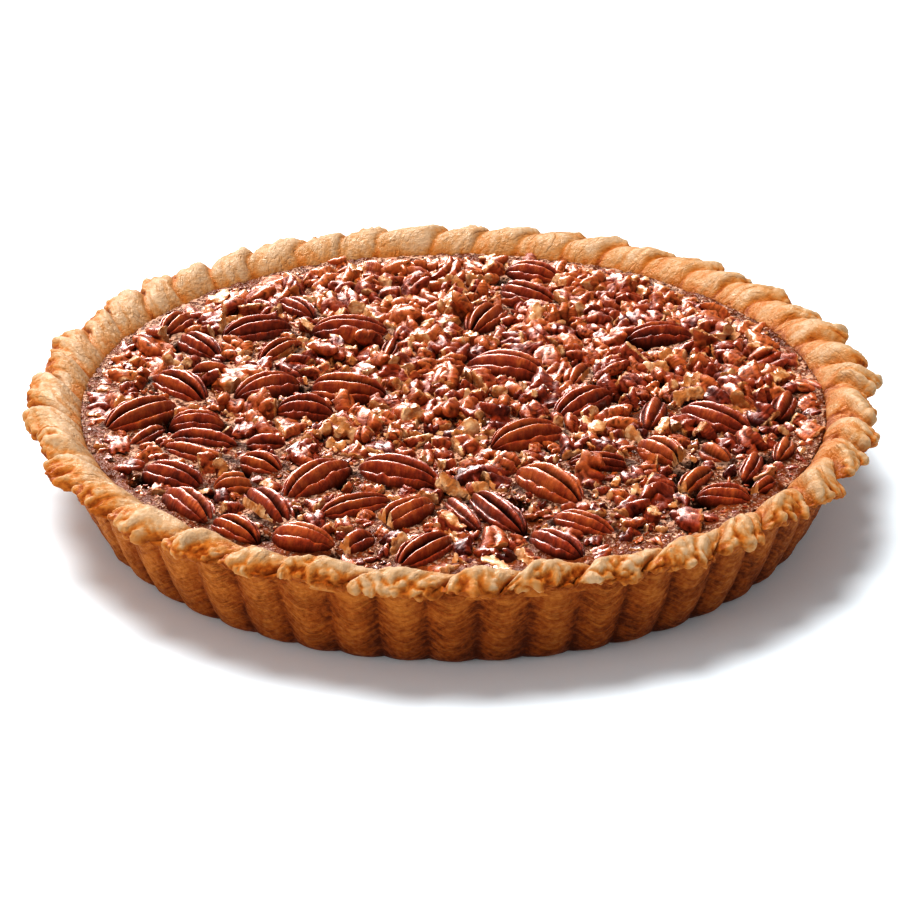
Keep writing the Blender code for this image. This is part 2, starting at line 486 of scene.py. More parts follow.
class Graph:
    """Adds shader nodes to one tree and links them."""

    def __init__(self, tree: bpy.types.NodeTree) -> None:
        """Start on a tree."""
        self.tree = tree

    def plug(self, node: bpy.types.Node, inputs: dict[str | int, object]) -> None:
        """Feed a node.

        Args:
            node: the node.
            inputs: a constant or another node's output for each input, by name or number.
        """
        for name, value in inputs.items():
            if isinstance(value, Socket):
                self.tree.links.new(value, node.inputs[name])
            else:
                node.inputs[name].default_value = value

    def add(self, kind: str, inputs: dict[str | int, object], **settings: object) -> bpy.types.Node:
        """Add a node.

        Args:
            kind: the node's type name.
            inputs: what it is fed with.
            settings: the node's own properties.

        Returns:
            The node.
        """
        node = self.tree.nodes.new(kind)
        set_all(node, settings)
        self.plug(node, inputs)
        return node

    def number(self, name: str) -> Socket:
        """Read a vertex attribute of one number."""
        return self.add("ShaderNodeAttribute", {}, attribute_name=name).outputs["Fac"]

    def row(self, name: str) -> Socket:
        """Read a vertex attribute of three numbers."""
        return self.add("ShaderNodeAttribute", {}, attribute_name=name).outputs["Vector"]

    def place(self) -> Socket:
        """Read the place on the object."""
        return self.add("ShaderNodeTexCoord", {}).outputs["Object"]

    def maths(self, operation: str, first: object, second: object = 0.0) -> Socket:
        """Combine two values, each a number or an output."""
        return self.add("ShaderNodeMath", {0: first, 1: second}, operation=operation).outputs[0]

    def times(self, first: object, second: object) -> Socket:
        """Multiply two values, each a number or an output."""
        return self.maths("MULTIPLY", first, second)

    def total(self, first: object, *others: object) -> Socket:
        """Add up values, each a number or an output.

        Args:
            first: the first value.
            others: the others.

        Returns:
            Their sum.
        """
        for other in others:
            first = self.maths("ADD", first, other)
        return first

    def spread(self, value: object, low: float, high: float, to_low: float = 0.0,
               to_high: float = 1.0) -> Socket:
        """Map a value from one range to another, clamped."""
        ranges = {"Value": value, 1: low, 2: high, 3: to_low, 4: to_high}
        return self.add("ShaderNodeMapRange", ranges).outputs[0]

    def noise(self, vector: Socket, scale: object, detail: float, roughness: float = 0.5) -> Socket:
        """Read Blender's own smooth noise, from 0 to 1."""
        inputs = {"Vector": vector, "Scale": scale, "Detail": detail, "Roughness": roughness}
        return self.add("ShaderNodeTexNoise", inputs).outputs[0]

    def cells(self, vector: Socket, scale: float) -> Socket:
        """Read the distance to the nearest of many scattered spots."""
        return self.add("ShaderNodeTexVoronoi", {"Vector": vector, "Scale": scale}).outputs[0]

    def stretch(self, vector: Socket, scale: Triple) -> Socket:
        """Scale coordinates by a different share along each axis."""
        return self.add("ShaderNodeMapping", {"Vector": vector, "Scale": scale}).outputs[0]

    def blend(self, share: object, first: object, second: object) -> Socket:
        """Mix two colours by a share."""
        return self.add("ShaderNodeMix", {0: share, 6: first, 7: second}, data_type="RGBA").outputs[2]

    def ramp(self, value: object, *stops: tuple[float, Triple]) -> Socket:
        """Colour a value.

        Args:
            value: the value, from 0 to 1.
            stops: a value and its colour, rising.

        Returns:
            The colour.
        """
        node = self.add("ShaderNodeValToRGB", {0: value})
        points = node.color_ramp.elements
        while len(points) < len(stops):
            points.new(0.5)
        for point, (spot, colour) in zip(points, stops):
            point.position = spot
            point.color = rgba(colour)
        return node.outputs[0]

    def bump(self, height: Socket, strength: float, depth: float) -> Socket:
        """Turn a height into a normal; the depth is in millimetres."""
        inputs = {"Height": height, "Strength": strength, "Distance": depth * MM}
        return self.add("ShaderNodeBump", inputs).outputs[0]

    def uneven(self, tree: bpy.types.NodeTree, vector: Socket, scale: float,
               grain_scale: float) -> tuple[Socket, Socket]:
        """Place the shared unevenness.

        Args:
            tree: the shared group.
            vector: the coordinates it follows.
            scale: how close the mottling lies.
            grain_scale: how close the grain lies.

        Returns:
            The mottling and the grain, from 0 to 1.
        """
        inputs = {"Vector": vector, "Scale": scale, "Grain Scale": grain_scale}
        node = self.add("ShaderNodeGroup", inputs, node_tree=tree)
        return node.outputs["Mottle"], node.outputs["Grain"]


def rgba(colour: Triple) -> tuple[float, float, float, float]:
    """Add full opacity to a linear colour."""
    return (*colour, 1.0)


def new_finish(name: str) -> tuple[bpy.types.Material, Graph, bpy.types.Node]:
    """Start a material.

    Args:
        name: the material's name.

    Returns:
        The material, its graph and its shader.
    """
    material = bpy.data.materials.new(name)
    material.use_nodes = True
    return material, Graph(material.node_tree), material.node_tree.nodes["Principled BSDF"]


def baked_unevenness() -> bpy.types.NodeTree:
    """Build the group that all baked surfaces share: broad mottling and fine grain.

    Returns:
        The group; it takes Vector, Scale and Grain Scale, and gives Mottle and Grain, 0 to 1.
    """
    tree = bpy.data.node_groups.new("Baked unevenness", "ShaderNodeTree")
    for name, side, kind in (("Vector", "INPUT", "Vector"), ("Scale", "INPUT", "Float"),
                             ("Grain Scale", "INPUT", "Float"), ("Mottle", "OUTPUT", "Float"),
                             ("Grain", "OUTPUT", "Float")):
        tree.interface.new_socket(name, in_out=side, socket_type="NodeSocket" + kind)
    graph = Graph(tree)
    given = graph.add("NodeGroupInput", {}).outputs
    broad = graph.noise(given["Vector"], given["Scale"], 4.0, 0.6)
    fine = graph.noise(given["Vector"], given["Grain Scale"], 3.0, 0.65)
    graph.add("NodeGroupOutput", {"Mottle": graph.spread(broad, 0.3, 0.7), "Grain": fine})
    return tree


@dataclass(frozen=True)
class PastryFinish:
    """Short pastry, from pale dough to a dark bake."""

    name: str = "baked_pastry"
    pale: Triple = (0.585, 0.385, 0.225)
    golden: Triple = (0.54, 0.27, 0.098)
    amber: Triple = (0.52, 0.18, 0.028)
    brown: Triple = (0.32, 0.072, 0.006)
    dark: Triple = (0.13, 0.022, 0.002)
    mottle_scale: float = 130.0
    grain_scale: float = 900.0
    speck_scale: float = 620.0
    seam_width: float = 0.05
    roughness: float = 0.55
    reflection: float = 0.12
    relief: float = 0.9

    def build(self, unevenness: bpy.types.NodeTree) -> bpy.types.Material:
        """Make the material; it reads three attributes: the baked tone with its painted shade and
        light, the painted shade of the rim's creases, and the flake coordinates.

        Args:
            unevenness: the shared group.

        Returns:
            The material.
        """
        material, graph, shader = new_finish(self.name)
        place = graph.place()
        mottle, grain = graph.uneven(unevenness, place, self.mottle_scale, self.grain_scale)
        leaves = graph.noise(graph.row("flake"), 1.0, 3.0, 0.55)
        specks = graph.noise(place, self.speck_scale, 2.0)
        away = graph.maths("ABSOLUTE", graph.total(leaves, -0.5))
        seam = graph.times(graph.spread(away, 0.0, self.seam_width, 1.0, 0.0),
                           graph.spread(mottle, 0.25, 0.75))
        # The level holds painted shade and light from the wall and rim as well as their real baking.
        level = graph.total(graph.number("bake_and_painted_shade"),
                            graph.spread(leaves, 0.32, 0.68, -0.07, 0.07),
                            graph.times(seam, 0.06),
                            graph.spread(mottle, 0.0, 1.0, -0.06, 0.06),
                            graph.spread(specks, 0.35, 0.7, -0.07, 0.09))
        colour = graph.ramp(level, (0.0, self.pale), (0.28, self.golden), (0.55, self.amber),
                            (0.82, self.brown), (1.0, self.dark))
        height = graph.total(leaves, graph.times(grain, 0.6), graph.times(seam, -0.25))
        # Painted shade: amber in the rim's creases.
        graph.plug(shader, {
            "Base Color": graph.blend(graph.number("crease_shade"), colour, rgba(self.amber)),
            "Roughness": graph.spread(specks, 0.3, 0.7, self.roughness - 0.12, self.roughness + 0.16),
            "Specular IOR Level": self.reflection,
            "Normal": graph.bump(height, 1.0, self.relief),
        })
        return material


@dataclass(frozen=True)
class NutFinish:
    """Glazed pecan: red-brown skin, and cream flesh where it is broken."""

    name: str = "glazed_pecan"
    dark_skin: Triple = (0.10, 0.008, 0.003)
    red_skin: Triple = (0.36, 0.046, 0.009)
    tan_skin: Triple = (0.62, 0.155, 0.028)
    # Painted shade: near-black laid into the grooves, the underside and the foot.
    groove: Triple = (0.022, 0.002, 0.001)
    flesh: Triple = (0.83, 0.52, 0.27)
    soaked_flesh: Triple = (0.56, 0.20, 0.045)
    mottle_scale: float = 0.28
    grain_scale: float = 1.6
    ridge_scale: Triple = (2.6, 0.55, 0.55)
    ripple_scale: Triple = (0.80, 0.22, 0.22)
    roughness: float = 0.5
    reflection: float = 0.06
    glaze: float = 1.0
    glaze_in_grooves: float = 0.1
    glaze_roughness: float = 0.38
    relief: float = 0.5

    def build(self, unevenness: bpy.types.NodeTree) -> bpy.types.Material:
        """Make the material; it reads the attributes local, shade (a random tone with painted light),
        the painted shade of grooves and feet, and flesh.

        Args:
            unevenness: the shared group.

        Returns:
            The material.
        """
        material, graph, shader = new_finish(self.name)
        local = graph.row("local")
        painted_groove_shade = graph.number("painted_groove_shade")
        mottle, grain = graph.uneven(unevenness, local, self.mottle_scale, self.grain_scale)
        ridges = graph.noise(graph.stretch(local, self.ridge_scale), 1.0, 3.0)
        ripples = graph.noise(graph.stretch(local, self.ripple_scale), 1.0, 1.0)
        # The shade attribute holds a random tone with painted light: paler tops, darker feet, paler
        # chips at the back.
        level = graph.total(graph.number("shade"),
                            graph.spread(mottle, 0.0, 1.0, -0.28, 0.28),
                            graph.spread(ripples, 0.35, 0.65, -0.09, 0.09))
        skin = graph.ramp(level, (0.0, self.dark_skin), (0.45, self.red_skin), (1.0, self.tan_skin))
        # Painted shade: the skin goes near-black in the grooves and towards the foot.
        skin = graph.blend(painted_groove_shade, skin, rgba(self.groove))
        soaked = graph.spread(mottle, 0.1, 0.62)
        meat = graph.blend(soaked, rgba(self.flesh), rgba(self.soaked_flesh))
        edge = graph.total(graph.number("flesh"), graph.spread(grain, 0.3, 0.7, -0.3, 0.3))
        height = graph.total(graph.times(ridges, 0.6), graph.times(grain, 0.4),
                             graph.times(ripples, 1.8))
        graph.plug(shader, {
            "Base Color": graph.blend(graph.spread(edge, 0.45, 0.65), skin, meat),
            "Roughness": graph.spread(grain, 0.3, 0.7, self.roughness - 0.1, self.roughness + 0.12),
            "Specular IOR Level": self.reflection,
            "Coat Weight": graph.spread(painted_groove_shade, 0.0, 0.6, self.glaze, self.glaze_in_grooves),
            "Coat Roughness": self.glaze_roughness,
            "Normal": graph.bump(height, 0.9, self.relief),
        })
        return material


@dataclass(frozen=True)
class FillingFinish:
    """Set caramel under a lace of pale sugar foam."""

    name: str = "caramel_filling"
    caramel: Triple = (0.10, 0.020, 0.004)
    amber: Triple = (0.32, 0.075, 0.018)
    foam: Triple = (0.65, 0.37, 0.245)
    # Painted shade: near-black for the holes, the pits and the gaps beside the nuts.
    pit_shade_colour: Triple = (0.022, 0.005, 0.002)
    mottle_scale: float = 170.0
    grain_scale: float = 1300.0
    small_bubbles: float = 760.0
    large_bubbles: float = 360.0
    thread_scale: float = 700.0
    roughness: float = 0.32
    foam_roughness: float = 0.45
    reflection: float = 0.05
    relief: float = 0.6

    def build(self, unevenness: bpy.types.NodeTree) -> bpy.types.Material:
        """Make the material; it reads the foam attribute and the painted shade of the holes, pits and
        gaps beside the nuts.

        Args:
            unevenness: the shared group.

        Returns:
            The material.
        """
        material, graph, shader = new_finish(self.name)
        place = graph.place()
        painted_pit_shade = graph.number("painted_pit_shade")
        mottle, _ = graph.uneven(unevenness, place, self.mottle_scale, self.grain_scale)
        threads = graph.noise(place, self.thread_scale, 2.0)
        walls = graph.times(graph.spread(graph.cells(place, self.small_bubbles), 0.12, 0.30),
                            graph.spread(graph.cells(place, self.large_bubbles), 0.10, 0.24))
        cover = graph.total(graph.number("foam"),
                            graph.spread(mottle, 0.0, 1.0, -0.30, 0.30),
                            graph.spread(threads, 0.35, 0.65, -0.34, 0.34))
        lace = graph.times(walls, graph.spread(cover, 0.35, 0.62))
        base = graph.blend(mottle, rgba(self.caramel), rgba(self.amber))
        colour = graph.blend(lace, base, rgba(self.foam))
        rough = graph.spread(lace, 0.0, 1.0, self.roughness, self.foam_roughness)
        height = graph.total(lace, graph.times(threads, 1.6))
        # Painted shade: the colour goes near-black in the holes, pits and gaps.
        graph.plug(shader, {
            "Base Color": graph.blend(painted_pit_shade, colour, rgba(self.pit_shade_colour)),
            "Roughness": graph.maths("MAXIMUM", rough, painted_pit_shade),
            "Specular IOR Level": self.reflection,
            "Normal": graph.bump(height, 1.0, self.relief),
        })
        return material


@dataclass(frozen=True)
class FloorFinish:
    """A plain pale floor."""

    name: str = "pale_floor"
    colour: Triple = (0.84, 0.91, 0.95)
    roughness: float = 0.9
    glow: float = 0.06

    def build(self) -> bpy.types.Material:
        """Make the material.

        Returns:
            The material.
        """
        material, graph, shader = new_finish(self.name)
        graph.plug(shader, {
            "Base Color": rgba(self.colour),
            "Roughness": self.roughness,
            "Specular IOR Level": 0.0,
            "Emission Color": (1.0, 1.0, 1.0, 1.0),
            "Emission Strength": self.glow,
        })
        return material


# --- Pastry case -----------------------------------------------------------------------------

@dataclass
class CaseWall:
    """The case below its rim: underside, fluted wall, and the inside that holds the filling."""

    finish: bpy.types.Material
    noise: DoughNoise
    base_radius: float
    top_radius: float = 130.5
    top_height: float = 31.0
    foot_height: float = 3.0
    foot_inset: float = 1.6
    foot_round: float = 3.5
    bow: float = 1.2
    lip_height: float = 1.8
    lip_inset: float = 1.5
    inner_base_radius: float = 113.5
    inner_top_radius: float = 122.2
    floor_height: float = 4.5
    under_rings: Triple = (20.0, 70.0, 105.0)
    floor_rings: tuple[float, float] = (60.0, 20.0)
    flutes: int = 50
    flute_depth: float = 2.7
    flute_fullness: float = 0.75
    flute_drift: float = 0.010
    sag: float = 4.0
    leaf_length: float = 9.0
    leaf_height: float = 1.7
    flake_length: float = 12.0
    flake_height: float = 1.15
    rows: int = 38
    steps: int = 1200

    def section(self) -> tuple[np.ndarray, np.ndarray]:
        """Draw the wall's section, from the middle underneath to the middle of the floor.

        Returns:
            Radius and height of each point, and how strongly the flutes show there.
        """
        share = np.linspace(0, 1, self.rows)
        height = share * self.top_height
        radius = self.base_radius + (self.top_radius - self.base_radius) * share
        radius += self.bow * np.sin(math.pi * share)
        radius -= self.foot_inset * (1 - np.clip(height / self.foot_height, 0, 1)) ** 2
        weight = np.interp(height, (0, self.foot_height, self.top_height), (0.75, 1.0, 0.85))
        under = [(ring, 0) for ring in (*self.under_rings, self.base_radius - self.foot_round)]
        lip = self.top_height + self.lip_height
        inner_middle = 0.5 * (self.inner_top_radius + self.inner_base_radius)
        hidden = [
            (self.top_radius - self.lip_inset, lip),
            (self.inner_top_radius + 2.5, lip),
            (self.inner_top_radius, self.top_height - 1.5),
            (inner_middle, 0.5 * self.top_height),
            *((ring, self.floor_height) for ring in (self.inner_base_radius, *self.floor_rings)),
        ]
        section = np.vstack((under, np.column_stack((radius, height)), hidden))
        under_weights = [0.0] * (len(under) - 1) + [0.6]
        hidden_weights = [0.5] + [0.0] * (len(hidden) - 1)
        return section, np.concatenate((under_weights, weight, hidden_weights))

    def browning_and_painted_shade(self, places: np.ndarray, angle: np.ndarray, bulge: np.ndarray) -> np.ndarray:
        """Tell how dark the wall is baked: darker low down, with painted shade in the flutes' valleys
        and under the lip and painted light on the left side.

        Args:
            places: the places, with the flutes pressed in.
            angle: each place's angle round the pie.
            bulge: how far out each place lies on its flute, from 0 to 1.

        Returns:
            The tone of each place, painted shade and light included.
        """
        height = places[:, 2]
        share = np.clip(height / self.top_height, 0, 1)
        # Painted shade in the flutes' valleys.
        bake_and_painted_shade = 0.90 - 0.16 * share + 0.22 * (0.6 - bulge) + 0.05 * self.noise.at(places, 16.0)
        # Darker at the foot; painted light makes the left side paler.
        bake_and_painted_shade += 0.05 * (1 - ease(0.0, 6.0, height)) - 0.14 * np.clip(-np.cos(angle), 0, 1)
        # Painted shade just under the lip.
        return bake_and_painted_shade + 0.02 + 0.10 * ease(27.0, 30.5, height)

    def build(self) -> Piece:
        """Model the wall.

        Returns:
            The finished piece.
        """
        section, weights = self.section()
        piece = spin_section("crust_wall", section, self.steps, is_loop=False)
        places = read_places(piece)
        radius = from_axis(places)
        on_axis = radius < 1.0
        weight = np.where(on_axis, 0, weights[match_section(places, section)])
        angle = np.arctan2(places[:, 1], places[:, 0])
        ring = at_zero(on_circle(angle, self.top_radius))
        drift = self.flute_drift * self.noise.at(ring, 34.0)
        wave = np.abs(np.sin(0.5 * self.flutes * (angle + drift)))
        bulge = wave ** self.flute_fullness
        layer = places[:, 2] + self.sag * wave ** 1.6 + 1.2 * self.noise.at(places, 19.0)
        girth = TURN * self.top_radius
        leaves = around_ring(angle, girth / self.leaf_length, layer / self.leaf_height)
        relief = self.flute_depth * (1 + 0.25 * self.noise.at(ring + 90, 21.0)) * (bulge - 0.65)
        relief += 0.55 * self.noise.at(places, 24.0)
        relief += 0.24 * self.noise.layered(leaves, 1.0, 2)
        relief += 0.16 * self.noise.layered(places, 4.5, 2)
        scale = np.where(on_axis, 1.0, (radius + weight * relief) / np.maximum(radius, 1e-6))
        pressed = places.copy()
        pressed[:, :2] *= scale[:, None]
        write_places(piece, pressed)
        store(piece, "bake_and_painted_shade", self.browning_and_painted_shade(pressed, angle, bulge))
        store(piece, "crease_shade", np.zeros(len(places)))
        flakes = around_ring(angle, girth / self.flake_length, layer / self.flake_height)
        store(piece, "flake", flakes)
        piece.data.shade_smooth()
        finish_piece(piece, self.finish, "pastry", "crust")
        return piece


@dataclass(frozen=True)
class RimAnchor:
    """One point of the rim's section, and how the crimps act on it."""

    radius: float
    height: float
    reach: float
    rise: float
    lean: float
    rough: float
    bake_and_painted_shade: float


@dataclass
class CaseRim:
    """The rim: dough pressed into slanting crimps, so that it reads as a wavy rope."""

    finish: bpy.types.Material
    noise: DoughNoise
    filling_radius: float
    filling_height: float
    outer_radius: float
    crest_height: float
    crimps: int = 43
    crowding: float = 0.16
    slant: float = 1.1
    sway: float = 0.24
    fine_sway: float = 0.08
    calm: float = 0.62
    reach: float = 5.2
    rise: float = 4.5
    unevenness: float = 0.22
    peak: float = 0.24
    fall: float = 0.90
    crease_depth: float = 2.2
    crease_width: float = 0.06
    fold_depth: float = 2.5
    folds_in_crimp: float = 3.0
    knuckle_depth: float = 1.9
    crumble: float = 0.42
    palest: float = 0.04
    darkest: float = 0.76
    stations: int = 74
    steps: int = 1340
    seed: int = 41

    def anchors(self) -> list[RimAnchor]:
        """Set out the section, from the inner foot over the crest and back inside.

        Returns:
            The anchors, in order.
        """
        foot = self.filling_radius
        level = self.filling_height
        edge = self.outer_radius
        crest = self.crest_height
        width = edge - foot
        # The last column darkens the lip's underside: partly real baking, partly painted shade under
        # the overhang.
        return [
            RimAnchor(foot + 0.2, level - 3.5, 0.0, 0.0, -0.34, 0.0, 0.40),
            RimAnchor(foot + 0.9, level - 0.2, 0.0, 0.1, -0.34, 0.05, 0.40),
            RimAnchor(foot + 0.2 * width, level + 2.6, 0.0, 0.3, -0.32, 0.1, 0.14),
            RimAnchor(foot + 0.4 * width, crest - 1.2, 0.1, 0.7, -0.26, 0.2, 0.05),
            RimAnchor(foot + 0.6 * width, crest, 0.3, 1.0, -0.14, 0.4, 0.02),
            RimAnchor(foot + 0.78 * width, crest - 0.6, 0.6, 1.0, 0.0, 0.7, 0.06),
            RimAnchor(foot + 0.92 * width, crest - 2.0, 0.95, 0.8, 0.08, 1.0, 0.24),
            RimAnchor(edge, crest - 3.6, 1.0, 0.6, 0.10, 1.0, 0.42),
            RimAnchor(edge - 0.9, crest - 5.2, 0.85, 0.4, 0.06, 0.9, 0.58),
            RimAnchor(edge - 4.0, crest - 6.3, 0.4, 0.2, 0.0, 0.5, 0.70),
            RimAnchor(edge - 8.2, crest - 7.2, 0.0, 0.0, 0.0, 0.1, 0.6),
            RimAnchor(foot + 0.45 * width, crest - 11.0, 0.0, 0.0, -0.2, 0.0, 0.6),
        ]

    def crimp_shape(self, turns: np.ndarray) -> tuple[np.ndarray, np.ndarray]:
        """Shape the crimps.

        Args:
            turns: the place along the rim, in crimps.

        Returns:
            How far each place stands out sideways and how far it stands up, both from 0 to about 1.
        """
        dice = np.random.default_rng(self.seed)
        sizes = 1 + dice.uniform(-self.unevenness, self.unevenness, self.crimps)
        reaches = 1 + dice.uniform(-2 * self.unevenness, 1.6 * self.unevenness, self.crimps)
        number = np.floor(turns).astype(int) % self.crimps
        share = turns - np.floor(turns)
        after = (number + 1) % self.crimps
        stand = ease(-0.07, self.peak, share) * (1 - self.fall * ease(self.peak, 1.02, share) ** 1.1)
        knuckle = np.sin(math.pi * np.clip(share, 0, 1)) ** 0.5
        blend = ease(0.75, 1.0, share)
        size = sizes[number] * (1 - blend) + sizes[after] * blend
        return knuckle * reaches[number], stand * size

    def build(self) -> Piece:
        """Model the rim.

        Returns:
            The finished piece.
        """
        noise = self.noise
        curve = closed_curve(np.array([astuple(anchor) for anchor in self.anchors()]), self.stations)
        section = curve[:, :2]
        piece = spin_section("crust_rim", section, self.steps, is_loop=True)
        places = read_places(piece)
        index = match_section(places, section)
        flat_radius, flat_height, reach, rise, lean, rough, bake_and_painted_shade = curve[index].T
        outward = outward_of(section)[index]
        angle = np.arctan2(places[:, 1], places[:, 0])
        ring = at_zero(on_circle(angle, self.outer_radius))
        back = ease(-0.1, 0.85, np.sin(angle))
        front = np.clip(-np.sin(angle), 0, 1)

        # Crimps: how far each place stands out and up.
        sway = self.sway * noise.at(ring, 30.0) + self.fine_sway * noise.at(places, 9.0)
        turns = self.crimps * (angle - self.crowding * np.cos(angle)) / TURN + self.slant * lean + sway
        knuckle, stand = self.crimp_shape(turns)
        radius = flat_radius + self.reach * reach * (knuckle - 0.6)
        height = flat_height + self.rise * (1 - self.calm * back) * rise * (stand - 0.5)
        height += rough * (0.8 * noise.at(ring + 50, 17.0) - 0.5 * knuckle)

        # Relief: creases between the crimps, folds along them and crumbly knobs.
        crease = np.exp(-(np.abs(turns - np.round(turns)) / self.crease_width) ** 2)
        twist = TURN * turns / self.crimps
        folds = self.folds_in_crimp * self.crimps
        strand = around_ring(twist, folds, (flat_radius + flat_height) / 20.0)
        fold = np.abs(noise.at(strand, 1.0)) + 0.3 * np.abs(noise.at(strand + 9.0, 0.55))
        knob = np.abs(noise.at(places, 4.2)) + 0.5 * np.abs(noise.at(places + 13.0, 2.0))
        crumbly = rough ** 2 + self.crumble * front * rise
        relief = self.fold_depth * (0.35 + 0.65 * np.clip(1.5 * rough, 0, 1))
        relief *= (np.minimum(fold, 0.8) - 0.4) * (1 - 0.55 * back)
        relief += self.knuckle_depth * crumbly * (np.minimum(knob, 0.9) - 0.35)
        relief += 0.35 * noise.at(places, 11.0) + 0.10 * noise.at(places, 1.6)
        relief -= self.crease_depth * crease * (0.4 + 0.6 * rough) * (1 - 0.4 * back)
        relief *= np.clip(0.3 + reach + rise, 0, 1)
        radius += outward[:, 0] * relief
        height += outward[:, 1] * relief
        places = np.column_stack((on_circle(angle, radius), height))
        write_places(piece, places)

        # Browning: the anchors and the noise give the real baking; painted shade and light are added
        # on top.
        # Painted shade on each crimp's falling side.
        level = bake_and_painted_shade + 0.42 * (np.clip(1.0 - stand, 0, 1) - 0.2) * (0.5 + 0.5 * rough)
        # Painted shade in the creases and between the knobs.
        level += 0.22 * crease + 0.50 * crumbly * (ease(0.58, 0.08, knob) - 0.35)
        # Painted shade in the folds' hollows.
        level += 0.62 * (ease(0.50, 0.06, fold) - 0.35) * (0.45 + 0.55 * rough) * (1 - 0.4 * back)
        level += 0.12 * (0.3 + 0.7 * rough) * noise.layered(places + 31.0, 6.0, 3)
        # Painted shade towards the right, painted light towards the left.
        level += 0.05 * noise.at(places, 20.0) + 0.08 * np.cos(angle + 0.4)
        # Painted shade on the smooth inner slopes at the right, where the key light falls.
        level += 0.15 * (1 - rough) * np.clip(np.cos(angle), 0, 1)
        # Painted shade on the outer tips at the left.
        level += 0.28 * reach * np.clip(-np.cos(angle), 0, 1)
        # Darker on the rough outer face at the front and all round the back.
        level += 0.04 * rough * front + 0.05 * back
        store(piece, "bake_and_painted_shade", np.clip(level, self.palest, self.darkest))
        # Painted shade: amber in the creases between the crimps.
        store(piece, "crease_shade", np.clip(0.5 * crease * (0.3 + rough) - 0.1, 0, 1))
        store(piece, "flake", around_ring(twist, folds, (radius + height) / 12.0))
        piece.data.shade_smooth()
        finish_piece(piece, self.finish, "pastry", "crust")
        return piece


# --- Nuts ------------------------------------------------------------------------------------

class Broken(Enum):
    """Where a half is broken open; the ends are named along its own length."""

    WHOLE = 0
    FAR_END = 1
    NEAR_END = 2
    FLANK = 3


@dataclass
class NutPlace:
    """Where one packed pecan lies, in millimetres."""

    node: str
    centre: np.ndarray
    direction: np.ndarray
    length: float
    width: float
    foot: float

    @classmethod
    def from_node(cls, node: str) -> "NutPlace":
        """Measure a packed pecan.

        Args:
            node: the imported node's name.

        Returns:
            Its place and sizes.
        """
        packed_share = 0.96
        places = read_places(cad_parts[node])
        flat = places[:, :2]
        middle = 0.5 * (flat.min(axis=0) + flat.max(axis=0))
        spread = (flat - flat.mean(axis=0)).T @ (flat - flat.mean(axis=0))
        direction = np.linalg.eigh(spread)[1][:, -1]
        if direction[0] < 0:
            direction = -direction
        across = square_to(direction)
        along_spots = (flat - middle) @ direction
        across_spots = (flat - middle) @ across
        middle = middle + 0.5 * (along_spots.min() + along_spots.max()) * direction
        middle = middle + 0.5 * (across_spots.min() + across_spots.max()) * across
        length = np.ptp(along_spots) / packed_share
        return cls(node, middle, direction, length, np.ptp(across_spots), places[:, 2].min())

    def gap(self, flat: np.ndarray) -> np.ndarray:
        """Measure roughly how far places lie outside the nut's outline.

        Args:
            flat: the places' X and Y.

        Returns:
            The distances in millimetres, below zero inside.
        """
        roundness = 2.4
        offset = flat - self.centre
        along = np.abs(offset @ self.direction / (0.5 * self.length))
        across = np.abs(offset @ square_to(self.direction) / (0.5 * self.width))
        far = (along ** roundness + across ** roundness) ** (1 / roundness)
        lengthwise = np.clip(along / (far + 1e-6), 0, 1) ** 4
        return (far - 1) * 0.5 * (self.width + (self.length - self.width) * lengthwise)


